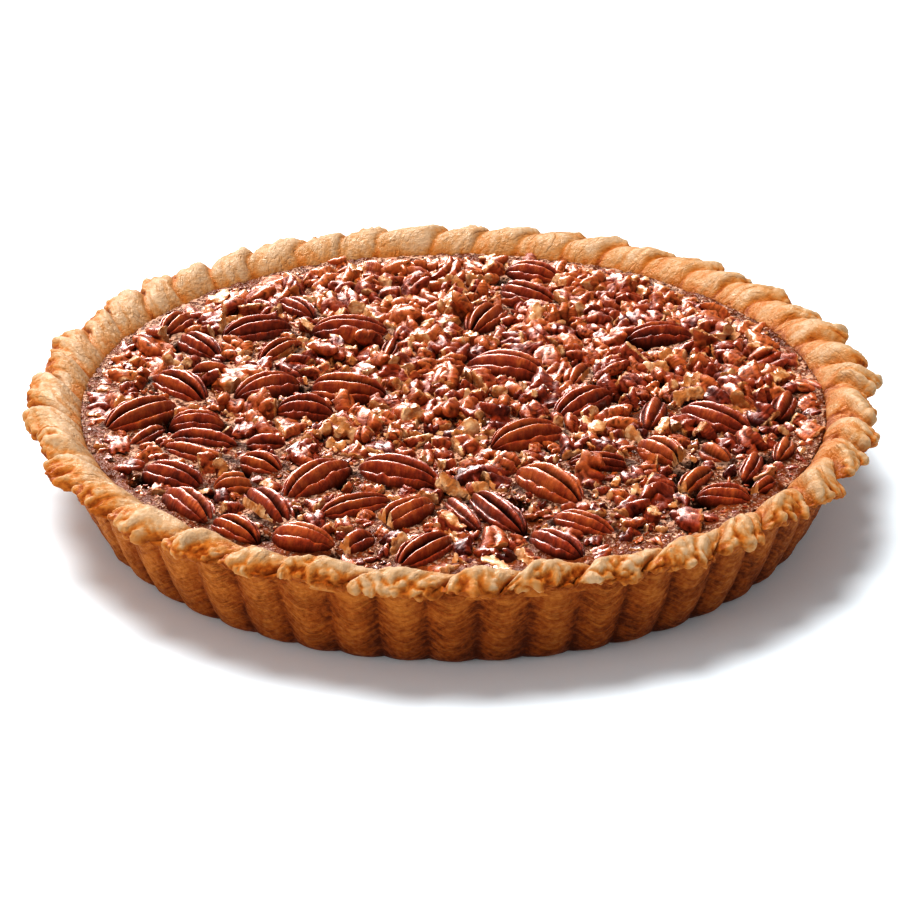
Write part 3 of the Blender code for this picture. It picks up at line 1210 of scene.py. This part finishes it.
@dataclass
class NutShape:
    """Turns a round primitive into a pecan half or a single lobe."""

    noise: DoughNoise
    lobe_spread: float = 0.365
    lobe_radius: float = 0.33
    side_spread: float = 0.82
    side_radius: float = 0.22
    side_height: float = 0.66
    single_radius: float = 0.62
    single_side_spread: float = 0.72
    single_side_radius: float = 0.32
    groove_floor: float = 0.14
    sharpness: float = 8.0
    stray: float = 0.07
    dent_depth: float = 0.16
    wrinkle_depth: float = 0.17

    def section(self, across: np.ndarray, single: bool, wobble: np.ndarray,
                side: np.ndarray) -> np.ndarray:
        """Draw the nut's section.

        Args:
            across: the place over the width, from -1 to 1.
            single: True for a lobe without the middle groove.
            wobble: how far the groove strays, by place.
            side: the side ridges' own height, by place.

        Returns:
            The height of each place, from 0 to 1.
        """
        if single:
            lobes = [(0.0, self.single_radius, 1.0)]
            lobes += [(middle, self.single_side_radius, side * 0.9)
                      for middle in (-self.single_side_spread, self.single_side_spread)]
        else:
            lobes = [(-self.lobe_spread, self.lobe_radius, 1.0),
                     (self.lobe_spread, self.lobe_radius, 0.96),
                     (-self.side_spread, self.side_radius, side),
                     (self.side_spread, self.side_radius, side)]
        floor = self.groove_floor * np.sqrt(np.clip(1 - (across / 0.97) ** 2, 0, 1))
        total = floor ** self.sharpness
        for middle, radius, top in lobes:
            away = (across - wobble * (1 - abs(across)) - middle) / radius
            total = total + (top * np.clip(1 - away ** 2, 0, 1) ** 0.6) ** self.sharpness
        return total ** (1 / self.sharpness)

    def shape(self, ball: np.ndarray, length: float, width: float, height: float, single: bool,
              seed: int) -> tuple[np.ndarray, np.ndarray]:
        """Shape a unit ball, whose poles lie along X, into a nut.

        Args:
            ball: places on the unit ball.
            length: the nut's length in millimetres.
            width: its width.
            height: its height above its middle plane.
            single: True for a single lobe.
            seed: makes this nut differ from the others.

        Returns:
            The places in millimetres, and the painted shade of each, from 0 to 1: deep in the grooves,
            0.6 underneath and more towards the foot.
        """
        dice = np.random.default_rng(seed)
        along = ball[:, 0]
        around = np.arctan2(ball[:, 2], ball[:, 1])
        is_top = around >= 0
        across = np.where(is_top, 1 - 2 * around / math.pi, 1 + 2 * around / math.pi)
        ones = np.ones(len(along))
        groove = np.column_stack((along * 2.2, ones * seed * 3.7, ones * 0))
        wobble = self.stray * self.noise.at(groove, 1.0)
        knobs = np.column_stack((along * length / 2, np.sign(across) * 5.0, ones * seed * 5.1))
        side = self.side_height * (1 + 0.12 * self.noise.layered(knobs, 3.4, 2))
        top = self.section(across, single, wobble, side)
        blunt = dice.uniform(1.8, 2.3)
        outline = (1 - np.abs(along) ** blunt) ** dice.uniform(0.52, 0.66)
        outline *= 1 + dice.uniform(-0.14, 0.14) * along
        back = (1 - np.abs(along) ** 2.4) ** 0.5 * (1 + dice.uniform(-0.1, 0.1) * along)
        under = 0.35 * np.sqrt(np.clip(1 - across ** 2, 0, 1))
        x = along * length / 2
        y = across * outline * width / 2 + dice.uniform(-0.05, 0.05) * length * (along ** 2 - 0.3)
        z = np.where(is_top, top, -under) * back * height
        z = z - dice.uniform(0.2, 0.9) * along ** 2 * is_top
        places = np.column_stack((x, y, z))
        dents = self.dent_depth * self.noise.layered(places + seed * 31.0, 2.8, 2)
        lengthwise = places * (1.0, 0.3, 0.3) + seed * 11.0
        wrinkles = self.wrinkle_depth * self.noise.at(lengthwise, 1.4)
        places[:, 2] += np.where(is_top, (dents + wrinkles) * back, 0)
        places[:, 1] += dents * across
        # Painted shade: dark in the grooves, on the underside and towards the foot.
        envelope = np.sqrt(np.clip(1 - (across * 0.94) ** 2, 0, 1)) * 0.98
        painted_groove_shade = np.where(is_top, np.clip((envelope - top) / 0.36 - 0.12, 0, 1), 0.6)
        return places, np.maximum(painted_groove_shade, 0.85 * ease(0.46, 0.10, places[:, 2] / height))


def ball_mesh(name: str, around: int, along: int) -> Piece:
    """Add a unit ball in metres with its poles along X, the start of every nut.

    Args:
        name: the new object's name.
        around: how many faces lie round it.
        along: how many rows of faces lie from pole to pole.

    Returns:
        The ball.
    """
    deselect()
    bpy.ops.mesh.primitive_uv_sphere_add(segments=around, ring_count=along, radius=1.0)
    piece = name_primitive(name)
    write_places(piece, read_places(piece)[:, (2, 0, 1)])
    return piece


@dataclass
class PecanHalves:
    """The halves and large pieces that lie on the filling, one for each packed pecan."""

    finish: bpy.types.Material
    shape: NutShape
    around: int = 72
    along: int = 54
    smallest_half: float = 9.5
    height_share: float = 0.56
    single_height: float = 1.25
    sink_share: float = 0.10
    roll: float = 11.0
    pitch: float = 5.0
    crease_angle: float = 50.0
    shades: tuple[float, float] = (0.32, 0.74)
    seed: int = 7
    broken: dict[str, Broken] = field(default_factory=lambda: {
        "pecan_06": Broken.FAR_END, "pecan_14": Broken.FLANK, "pecan_16": Broken.NEAR_END,
        "pecan_19": Broken.NEAR_END, "pecan_34": Broken.FAR_END, "pecan_55": Broken.FLANK,
        "pecan_42": Broken.FLANK, "pecan_25": Broken.FAR_END, "pecan_28": Broken.NEAR_END,
        "pecan_10": Broken.FAR_END, "pecan_47": Broken.FLANK,
        "pecan_36": Broken.NEAR_END, "pecan_49": Broken.FAR_END,
    })

    def places(self) -> list[NutPlace]:
        """Measure every packed pecan."""
        return [NutPlace.from_node(name) for name in sorted(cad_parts) if name.startswith("pecan_")]

    def break_open(self, piece: Piece, place: NutPlace, how: Broken) -> None:
        """Cut a nut in its own place and close the cut with flesh.

        Args:
            piece: the nut, still along X at the origin.
            place: its sizes.
            how: where it is broken.
        """
        cuts = {
            Broken.FAR_END: ((0.36 * place.length, 0, 0), (1.0, 0.35, 0.25)),
            Broken.NEAR_END: ((-0.36 * place.length, 0, 0), (-1.0, 0.3, 0.3)),
            Broken.FLANK: ((0, -0.40 * place.width, 0), (0.12, -1.0, 0.2)),
        }
        spot, facing = cuts[how]
        cut_off(piece, Vector(spot), Vector(facing))

    def flesh_of(self, piece: Piece) -> np.ndarray:
        """Find the broken faces of a nut, which have more corners than any other.

        Args:
            piece: the nut.

        Returns:
            1 for each vertex of such a face, and 0 for the others.
        """
        most_corners = 8
        flesh = np.zeros(len(piece.data.vertices))
        for face in piece.data.polygons:
            if len(face.vertices) > most_corners:
                flesh[list(face.vertices)] = 1.0
        return flesh

    def build(self) -> list[Piece]:
        """Model every half.

        Returns:
            The finished pieces.
        """
        pattern = ball_mesh("nut_pattern", self.around, self.along)
        ball = read_places(pattern) * MM
        dice = np.random.default_rng(self.seed)
        made = []
        for number, place in enumerate(self.places()):
            piece = link_new(place.node.replace("pecan", "pecan_half"), pattern.data.copy())
            piece.data.name = piece.name
            single = place.width < self.smallest_half
            height = place.width * self.height_share * (self.single_height if single else 1.0)
            places, painted_groove_shade = self.shape.shape(ball, place.length, place.width, height, single,
                                              number + 1)
            write_places(piece, places)
            store(piece, "painted_groove_shade", painted_groove_shade)
            how = self.broken.get(place.node, Broken.WHOLE)
            if how is not Broken.WHOLE:
                self.break_open(piece, place, how)
            local = read_places(piece)
            raised = np.clip(local[:, 2] / height, 0, 1)
            store(piece, "flesh", self.flesh_of(piece))
            store(piece, "local", local + 40.0 * number)
            # A random tone for each nut, with painted light: paler on top, darker low down.
            store(piece, "shade", dice.uniform(*self.shades) + 0.45 * (raised - 0.6))
            roll, pitch = np.radians((dice.uniform(-self.roll, self.roll),
                                      dice.uniform(-self.pitch, self.pitch)))
            laid = turned(local, roll, pitch, math.atan2(place.direction[1], place.direction[0]))
            laid[:, :2] += place.centre
            laid[:, 2] += place.foot - self.sink_share * place.width
            write_places(piece, laid)
            piece.data.shade_smooth()
            if how is not Broken.WHOLE:
                pick(piece)
                bpy.ops.object.shade_smooth_by_angle(angle=math.radians(self.crease_angle))
            finish_piece(piece, self.finish, "pecan", place.node)
            made.append(piece)
        bpy.data.objects.remove(pattern)
        return made


@dataclass
class Chip:
    """One chopped piece of nut, ready to be copied."""

    places: np.ndarray
    faces: np.ndarray
    flesh: np.ndarray
    painted_groove_shade: np.ndarray


def hollowness(piece: Piece, size: float) -> np.ndarray:
    """Measure how hollow a mesh is at each vertex.

    Args:
        piece: the mesh object.
        size: the bend, in millimetres, that counts as a full crease.

    Returns:
        A value for each vertex, from 0 on a bulge to 1 in a crease.
    """
    places = read_places(piece)
    ends = np.empty(len(piece.data.edges) * 2, int)
    piece.data.edges.foreach_get("vertices", ends)
    ends = ends.reshape(-1, 2)
    pull = np.zeros_like(places)
    count = np.zeros(len(places))
    for one, other in ((ends[:, 0], ends[:, 1]), (ends[:, 1], ends[:, 0])):
        np.add.at(pull, one, places[other])
        np.add.at(count, one, 1)
    normals = np.empty(len(places) * 3)
    piece.data.vertices.foreach_get("normal", normals)
    bend = ((pull / count[:, None] - places) * normals.reshape(-1, 3)).sum(axis=1)
    return np.clip(bend / size, 0, 1)


@dataclass
class ChipMaker:
    """Makes bits of nut: a few rounded ridges grown together, snapped off at an end or two."""

    noise: DoughNoise
    ridge_length: tuple[float, float] = (0.50, 0.70)
    ridge_width: tuple[float, float] = (0.15, 0.21)
    ridge_height: tuple[float, float] = (0.20, 0.31)
    ridge_gap: float = 0.27
    ridge_counts: tuple[int, ...] = (2, 2, 3, 3, 4)
    snap_counts: tuple[int, ...] = (0, 1, 1, 1, 2, 2)
    snap_from: float = 0.16
    snap_to: float = 0.34
    rim_of_flesh: float = 0.055
    lump_depth: float = 0.036
    grit_depth: float = 0.022
    melting: int = 3

    def ridges(self, dice: np.random.Generator, size: float) -> Piece:
        """Join a few bent, rounded ridges into one rough mesh.

        Args:
            dice: the chip's own random numbers.
            size: the chip's rough length in millimetres.

        Returns:
            The mesh object, which is left active.
        """
        count = int(dice.choice(self.ridge_counts))
        spans = (self.ridge_length, self.ridge_width, self.ridge_height)
        made = []
        for number in range(count):
            ridge = ball_mesh("chip", 16, 12)
            stretch = size * np.array([dice.uniform(*span) for span in spans])
            places = read_places(ridge) * MM * stretch
            places[:, 1] += dice.uniform(-0.7, 0.7) * places[:, 0] ** 2 / size
            places = turned(places, 0.0, dice.uniform(-0.2, 0.2), dice.uniform(-0.25, 0.25))
            aside = (number - 0.5 * (count - 1)) * self.ridge_gap
            places += size * np.array((dice.uniform(-0.12, 0.12), aside, dice.uniform(-0.08, 0.08)))
            write_places(ridge, places)
            made.append(ridge)
        deselect()
        for ridge in made:
            ridge.select_set(True)
        bpy.context.view_layer.objects.active = made[0]
        bpy.ops.object.join()
        return made[0]

    def chop(self, seed: int, size: float, voxel: float, faces: int) -> Chip:
        """Make one chip.

        Args:
            seed: makes this chip differ from the others.
            size: its rough length in millimetres.
            voxel: the fineness of its surface in millimetres.
            faces: how many triangles it may keep.

        Returns:
            The chip, centred on the origin.
        """
        dice = np.random.default_rng(seed)
        piece = self.ridges(dice, size)
        apply_modifier(piece, "REMESH", mode="VOXEL", voxel_size=voxel * MM)
        cuts = []
        for side in (1, -1)[:dice.choice(self.snap_counts)]:
            spot = Vector((side * dice.uniform(self.snap_from, self.snap_to) * size, 0, 0))
            facing = Vector((side, dice.uniform(-0.5, 0.5), dice.uniform(-0.2, 0.5)))
            cuts.append((spot, facing.normalized()))
        for spot, facing in cuts:
            cut_off(piece, spot, facing)
        pick(piece)
        apply_modifier(piece, "REMESH", mode="VOXEL", voxel_size=voxel * MM)
        places = read_places(piece)
        flesh = np.zeros(len(places))
        for spot, facing in cuts:
            depth = np.abs((places - np.array(spot)) @ np.array(facing))
            flesh = np.maximum(flesh, ease(1.6, 0.6, depth / (self.rim_of_flesh * size)))
        apply_modifier(piece, "SMOOTH", factor=0.5, iterations=self.melting)
        places = read_places(piece)
        outward = places - places.mean(axis=0)
        outward /= np.linalg.norm(outward, axis=1, keepdims=True) + 1e-6
        lumps = 2.0 * np.abs(self.noise.layered(places / size + seed * 13.0, 0.34, 2)) - 0.5
        grit = self.noise.at(places / size + seed * 7.0, 0.11) * (1 + flesh)
        places += outward * size * (self.lump_depth * lumps + self.grit_depth * grit)[:, None]
        write_places(piece, places)
        store(piece, "flesh", flesh)
        # Painted shade in the chip's creases, none on the flesh.
        store(piece, "painted_groove_shade", hollowness(piece, 0.12 * voxel) * (1 - flesh))
        triangles = count_triangles(piece)
        if triangles > faces:
            apply_modifier(piece, "DECIMATE", ratio=faces / triangles)
        apply_modifier(piece, "TRIANGULATE")
        places = read_places(piece)
        corners = np.empty(len(piece.data.polygons) * 3, int)
        piece.data.polygons.foreach_get("vertices", corners)
        centre = 0.5 * (places.min(axis=0) + places.max(axis=0))
        chip = Chip(places - centre, corners.reshape(-1, 3), recall(piece, "flesh"),
                    recall(piece, "painted_groove_shade"))
        bpy.data.objects.remove(piece)
        return chip


@dataclass(frozen=True)
class ChipKind:
    """One grade of chopped nut."""

    name: str
    size: float
    size_spread: float
    shapes: int
    voxel: float
    faces: int
    count: int
    spacing: float
    stack: float
    back_share: float
    front_share: float


@dataclass
class ChoppedNuts:
    """Chopped nuts in several grades, scattered between the halves."""

    finish: bpy.types.Material
    maker: ChipMaker
    filling: "FillingTop"
    halves: list[NutPlace]
    edge_gap: float = 0.8
    clearance: float = 0.28
    low_edge: float = 16.0
    flat_share: float = 0.8
    tilt: float = 0.6
    any_tilt: float = 3.1
    # Painted light: chips further back are paler.
    painted_light_behind: float = 0.16
    crease_angle: float = 48.0
    seed: int = 113
    kinds: tuple[ChipKind, ...] = (
        ChipKind("chopped_coarse", 10.5, 0.22, 30, 0.38, 480, 330, 0.58, 0.9, 1.0, 0.12),
        ChipKind("chopped_medium", 6.8, 0.25, 26, 0.30, 320, 480, 0.56, 0.6, 1.0, 0.20),
        ChipKind("chopped_fine", 3.8, 0.28, 16, 0.24, 120, 600, 0.62, 0.4, 0.7, 0.25),
        ChipKind("nut_crumbs", 1.7, 0.35, 12, 0.16, 48, 700, 0.7, 0.2, 0.5, 0.4),
    )

    def crowding(self, flat: np.ndarray) -> np.ndarray:
        """Return how densely chips lie, from 0 at the sparse front left to 1 at the back."""
        return ease(-45, 35, flat[:, 1] + 0.35 * flat[:, 0])

    def scatter(self, kind: ChipKind, taken: np.ndarray) -> np.ndarray:
        """Choose spots for one grade.

        Args:
            kind: the grade.
            taken: X, Y and size of each coarser chip already laid.

        Returns:
            X, Y and size of each new chip.
        """
        dice = np.random.default_rng(self.seed + len(taken))
        reach = self.filling.radius - self.edge_gap - 0.35 * kind.size
        tries = kind.count * 14
        radius = reach * np.sqrt(dice.random(tries))
        flat = on_circle(dice.random(tries) * TURN, radius)
        sizes = kind.size * dice.uniform(1 - kind.size_spread, 1 + kind.size_spread, tries)
        crowd = self.crowding(flat)
        keep = dice.random(tries) < kind.front_share + (kind.back_share - kind.front_share) * crowd
        gaps = np.min([half.gap(flat) for half in self.halves], axis=0)
        keep &= gaps > self.clearance * sizes
        for hole_x, hole_y, hole_size in self.filling.hole_spots():
            away = np.hypot(flat[:, 0] - hole_x, flat[:, 1] - hole_y)
            keep &= away > 0.5 * hole_size + self.clearance * sizes
        known = taken
        for x, y, size in np.column_stack((flat, sizes))[keep]:
            gaps = np.hypot(known[:, 0] - x, known[:, 1] - y)
            if (gaps < kind.spacing * 0.5 * (known[:, 2] + size)).any():
                continue
            known = np.vstack((known, (x, y, size)))
            if len(known) == len(taken) + kind.count:
                break
        return known[len(taken):]

    def lay(self, kind: ChipKind, chosen: np.ndarray) -> Piece:
        """Copy the grade's chips to their spots as one mesh.

        Args:
            kind: the grade.
            chosen: X, Y and size of each chip, in millimetres.

        Returns:
            The joined piece.
        """
        seeds = [self.seed * 7 + number for number in range(kind.shapes)]
        chips = [self.maker.chop(seed, kind.size, kind.voxel, kind.faces) for seed in seeds]
        dice = np.random.default_rng(self.seed + kind.count)
        flat = chosen[:, :2]
        level = self.filling.level_at(flat)
        crowd = self.crowding(flat)
        radius = self.filling.radius
        inside = ease(radius, radius - self.low_edge, from_axis(flat))
        parts = {"places": [], "faces": [], "flesh": [], "painted_groove_shade": [], "local": [], "shade": []}
        total = 0
        for number, (x, y, size) in enumerate(chosen):
            chip = chips[dice.integers(len(chips))]
            tilt = self.tilt if dice.random() < self.flat_share else self.any_tilt
            roll, pitch = dice.uniform(-tilt, tilt, 2)
            places = turned(chip.places * (size / kind.size), roll, pitch, dice.uniform(0, TURN))
            thickness = np.ptp(places[:, 2])
            sink = dice.uniform(0.28, 0.50) * thickness
            lift = kind.stack * crowd[number] * dice.random() * inside[number]
            raised = (places[:, 2] - places[:, 2].min()) / thickness
            places[:, 2] *= 0.55 + 0.45 * inside[number]
            places += (x, y, level[number] - places[:, 2].min() - sink + lift)
            # A random tone for each chip, with painted light: paler towards the back.
            shade = dice.uniform(0.15, 0.85) + self.painted_light_behind * y / radius
            parts["places"].append(places)
            parts["faces"].append(chip.faces + total)
            parts["flesh"].append(chip.flesh)
            # Painted shade in the creases and at the foot.
            parts["painted_groove_shade"].append(np.maximum(chip.painted_groove_shade, 0.8 * ease(0.42, 0.12, raised)))
            parts["local"].append(chip.places + 23.0 * number)
            # Painted light: paler on top, darker low down.
            parts["shade"].append(shade + 0.45 * (raised - 0.6))
            total += len(places)
        joined = {name: np.concatenate(rows) for name, rows in parts.items()}
        mesh = bpy.data.meshes.new(kind.name)
        mesh.from_pydata(joined["places"] * MM, [], joined["faces"].tolist())
        piece = link_new(kind.name, mesh)
        for name in ("flesh", "painted_groove_shade", "local", "shade"):
            store(piece, name, joined[name])
        mesh.shade_smooth()
        pick(piece)
        bpy.ops.object.shade_smooth_by_angle(angle=math.radians(self.crease_angle))
        finish_piece(piece, self.finish, "pecan")
        return piece

    def build(self) -> list[Piece]:
        """Scatter every grade, the coarsest first.

        Returns:
            The finished pieces.
        """
        taken = np.empty((0, 3))
        made = []
        for kind in self.kinds:
            chosen = self.scatter(kind, taken)
            LOG.info("%s: %d chips", kind.name, len(chosen))
            taken = np.vstack((taken, chosen))
            made.append(self.lay(kind, chosen))
        return made


# --- Filling ---------------------------------------------------------------------------------

@dataclass
class FillingTop:
    """The set filling: a pitted, gently heaving top over a plain body."""

    finish: bpy.types.Material
    noise: DoughNoise
    halves: list[NutPlace]
    radius: float
    level: float
    bottom: float
    overlap: float = 0.9
    divisions: int = 300
    heave: float = 0.7
    lump: float = 0.55
    edge_rise: float = 0.5
    edge_width: float = 5.0
    meniscus: float = 0.8
    meniscus_width: float = 1.3
    pit_size: float = 4.2
    pit_depth: float = 0.75
    grain_depth: float = 0.34
    hole_depth: float = 3.4
    holes: int = 66
    holes_in_front: float = 0.55
    hole_sizes: tuple[float, float] = (2.0, 5.0)
    foam_behind: float = 0.13
    rim_width: float = 14.0
    body_share: float = 0.92
    seed: int = 5

    def level_at(self, flat: np.ndarray) -> np.ndarray:
        """Tell the filling's height without its fine pits.

        Args:
            flat: the places' X and Y.

        Returns:
            The heights in millimetres.
        """
        spots = at_zero(flat)
        height = self.level + self.heave * self.noise.at(spots, 30.0)
        height += self.lump * self.noise.at(spots, 9.5)
        near_edge = ease(self.radius - self.edge_width, self.radius, from_axis(flat))
        return height + self.edge_rise * near_edge

    def hole_spots(self) -> np.ndarray:
        """Choose where holes open beside the nuts; they are painted near-black as shade.

        Returns:
            X, Y and size of each hole.
        """
        dice = np.random.default_rng(self.seed)
        rows = []
        for _ in range(self.holes):
            half = self.halves[dice.integers(len(self.halves))]
            angle = dice.uniform(0, TURN)
            beside = dice.uniform(0.2, 1.8)
            spot = half.centre + math.cos(angle) * (0.5 * half.length + beside) * half.direction
            spot = spot + math.sin(angle) * (0.5 * half.width + beside) * square_to(half.direction)
            if dice.random() < self.holes_in_front:
                spot[1] = half.centre[1] - abs(spot[1] - half.centre[1])
            if np.hypot(*spot) < self.radius - self.edge_width:
                rows.append((*spot, dice.uniform(*self.hole_sizes)))
        return np.array(rows)

    def close_below(self, piece: Piece) -> int:
        """Draw the open edge of the top down to the filling's underside and close it.

        Args:
            piece: the shaped top.

        Returns:
            How many vertices were added.
        """
        top_count = len(piece.data.vertices)
        select_vertices(piece, np.zeros(top_count))
        bpy.ops.mesh.select_non_manifold()
        bpy.ops.mesh.extrude_region_move(TRANSFORM_OT_translate={"value": (0, 0, -self.level * MM)})
        bpy.ops.object.mode_set(mode="OBJECT")
        grown = read_places(piece)
        grown[top_count:, 2] = self.bottom
        grown[top_count:, :2] *= self.body_share
        write_places(piece, grown)
        select_vertices(piece, np.arange(len(grown)) >= top_count)
        bpy.ops.mesh.edge_face_add()
        bpy.ops.object.mode_set(mode="OBJECT")
        return len(grown) - top_count

    def build(self) -> Piece:
        """Model the filling.

        Returns:
            The finished piece.
        """
        deselect()
        bpy.ops.mesh.primitive_grid_add(x_subdivisions=self.divisions, y_subdivisions=self.divisions,
                                        size=2.0)
        piece = name_primitive("filling_top")
        square = read_places(piece)[:, :2] * MM
        rounded = square * np.sqrt(1 - 0.5 * square[:, ::-1] ** 2)
        flat = rounded * (self.radius + self.overlap)
        spots = at_zero(flat)
        gap = np.min([half.gap(flat) for half in self.halves], axis=0)
        froth = 0.55 + 0.35 * self.noise.at(spots + 50.0, 22.0) + 0.25 * self.noise.at(spots, 7.0)
        pits = ease(0.42, 0.12, self.noise.cells(spots, self.pit_size))
        ragged = 0.25 * self.noise.at(spots, 2.2)
        dark = np.zeros(len(flat))
        for hole_x, hole_y, size in self.hole_spots():
            away = np.hypot(flat[:, 0] - hole_x, flat[:, 1] - hole_y) / size
            dark = np.maximum(dark, ease(1.0, 0.55, away + ragged))
        height = self.level_at(flat)
        height += self.meniscus * np.exp(-np.clip(gap, 0, None) / self.meniscus_width)
        height -= self.pit_depth * pits
        height += self.grain_depth * self.noise.layered(spots, 2.4, 2)
        height -= self.hole_depth * dark
        write_places(piece, np.column_stack((flat, height)))
        added = np.zeros(self.close_below(piece))
        near_rim = ease(self.radius - self.rim_width, self.radius - 2, from_axis(flat))
        foam = froth * (1 - 0.35 * near_rim) + self.foam_behind * flat[:, 1] / self.radius
        # Painted shade: near-black in the holes, darker in the pits and in patches just beside the
        # nuts.
        gaps = ease(1.5, 0.4, gap) * ease(-0.05, 0.25, self.noise.at(spots + 77.0, 6.0))
        painted_pit_shade = np.clip(dark + 0.55 * pits + 0.65 * gaps, 0, 1)
        store(piece, "foam", np.concatenate((foam, added)))
        store(piece, "painted_pit_shade", np.concatenate((painted_pit_shade, added)))
        piece.data.shade_smooth()
        finish_piece(piece, self.finish, "filling", "filling")
        return piece


# --- Stage -----------------------------------------------------------------------------------

@dataclass
class Stage:
    """Floor, light and camera."""

    floor_radius: float = 4.0
    distance: float = 1.6
    elevation: float = 26.1
    lens: float = 192.28
    sensor: float = 36.0
    aim: Triple = (-0.00114, 0.0008, 0.0160)
    pivot: Triple = (0.0, 0.0, 0.015)
    exposure: float = 0.42
    gamma: float = 0.8
    fill: float = 0.35
    fill_colour: Triple = (0.93, 0.97, 1.0)
    mirrored_fill: float = 0.02
    key_strength: float = 2.95
    key_spread: float = 32.0
    key_elevation: float = 74.0
    key_azimuth: float = 42.0
    side_watts: float = 5.0
    side_size: float = 0.8
    side_place: Triple = (-1.25, -0.85, 0.50)
    glance_watts: float = 22.0
    glance_colour: Triple = (1.0, 0.97, 0.95)
    glance_size: tuple[float, float] = (0.70, 0.36)
    glance_place: Triple = (-0.28, 0.55, 0.50)

    def floor(self) -> None:
        """Lay the floor just under the pie."""
        deselect()
        bpy.ops.mesh.primitive_circle_add(vertices=96, radius=self.floor_radius, fill_type="NGON")
        floor = name_primitive("floor")
        floor.data.materials.append(FloorFinish().build())

    def fill_light(self) -> None:
        """Add an even fill, which gloss mirrors only faintly."""
        world = bpy.data.worlds.new("studio")
        world.use_nodes = True
        graph = Graph(world.node_tree)
        mirrored = graph.add("ShaderNodeLightPath", {}).outputs["Is Glossy Ray"]
        strength = graph.spread(mirrored, 0.0, 1.0, self.fill, self.mirrored_fill)
        backdrop = world.node_tree.nodes["Background"]
        graph.plug(backdrop, {"Color": rgba(self.fill_colour), "Strength": strength})
        bpy.context.scene.world = world

    def lamp(self, name: str, kind: str, place: Vector, unseen: tuple[str, ...],
             **settings: object) -> None:
        """Add a light that shines on the pie.

        Args:
            name: its name.
            kind: SUN or AREA.
            place: where it stands, in metres; of a sun, only the direction counts.
            unseen: the kinds of ray that don't meet it.
            settings: the light's own properties.
        """
        light = bpy.data.lights.new(name, kind)
        set_all(light, settings)
        lamp = link_new(name, light)
        lamp.location = place
        lamp.rotation_euler = place.to_track_quat("Z", "Y").to_euler()
        set_all(lamp, {"visible_" + ray: False for ray in unseen})

    def light(self) -> None:
        """Add a soft key from behind on the left, a low glancing light and a weak side light."""
        rise, swing = math.radians(self.key_elevation), math.radians(self.key_azimuth)
        towards = Vector((-math.sin(swing) * math.cos(rise), math.cos(swing) * math.cos(rise),
                          math.sin(rise)))
        self.lamp("key", "SUN", towards, ("glossy",), energy=self.key_strength,
                  angle=math.radians(self.key_spread))
        self.lamp("glance", "AREA", Vector(self.glance_place), ("camera", "diffuse"),
                  shape="RECTANGLE", size=self.glance_size[0], size_y=self.glance_size[1],
                  energy=self.glance_watts, color=self.glance_colour)
        self.lamp("side", "AREA", Vector(self.side_place), ("camera", "glossy"),
                  size=self.side_size, energy=self.side_watts)

    def camera(self) -> None:
        """Place the camera in front of the pie, looking down on it."""
        lens = bpy.data.cameras.new("camera")
        lens.lens = self.lens
        lens.sensor_width = self.sensor
        camera = link_new("camera", lens)
        rise = math.radians(self.elevation)
        back_and_up = Vector((0, -math.cos(rise), math.sin(rise)))
        camera.location = Vector(self.pivot) + self.distance * back_and_up
        towards = camera.location - Vector(self.aim)
        camera.rotation_euler = towards.to_track_quat("Z", "Y").to_euler()
        bpy.context.scene.camera = camera

    def build(self) -> None:
        """Set the whole stage, with plain display colours."""
        display = bpy.context.scene.view_settings
        display.view_transform = "Standard"
        display.exposure = self.exposure
        display.gamma = self.gamma
        self.floor()
        self.fill_light()
        self.light()
        self.camera()


def main() -> None:
    """Dress the pie, piece by piece."""
    logging.basicConfig(level=logging.INFO, format="%(message)s")
    Stage().build()
    unevenness = baked_unevenness()
    pastry = PastryFinish().build(unevenness)
    nut = NutFinish().build(unevenness)
    caramel = FillingFinish().build(unevenness)
    noise = DoughNoise(19)

    crust_low, crust_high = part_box("crust")
    fill_low, fill_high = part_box("filling")
    crust = read_places(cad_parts["crust"])
    standing = crust[:, 2] < 0.5
    base_radius = float(from_axis(crust[standing]).max()) - 0.5
    outer_radius = 0.5 * (crust_high.x - crust_low.x) / MM - 1.0
    crest = crust_high.z / MM + 0.3
    filling_radius = 0.5 * (fill_high.x - fill_low.x) / MM
    level = fill_high.z / MM

    CaseWall(pastry, noise, base_radius).build()
    CaseRim(pastry, noise, filling_radius, level, outer_radius, crest).build()
    halves = PecanHalves(nut, NutShape(noise))
    half_places = halves.places()
    filling = FillingTop(caramel, noise, half_places, filling_radius, level, fill_low.z / MM)
    filling.build()
    halves.build()
    ChoppedNuts(nut, ChipMaker(noise), filling, half_places).build()


if __name__ == "__main__":
    main()
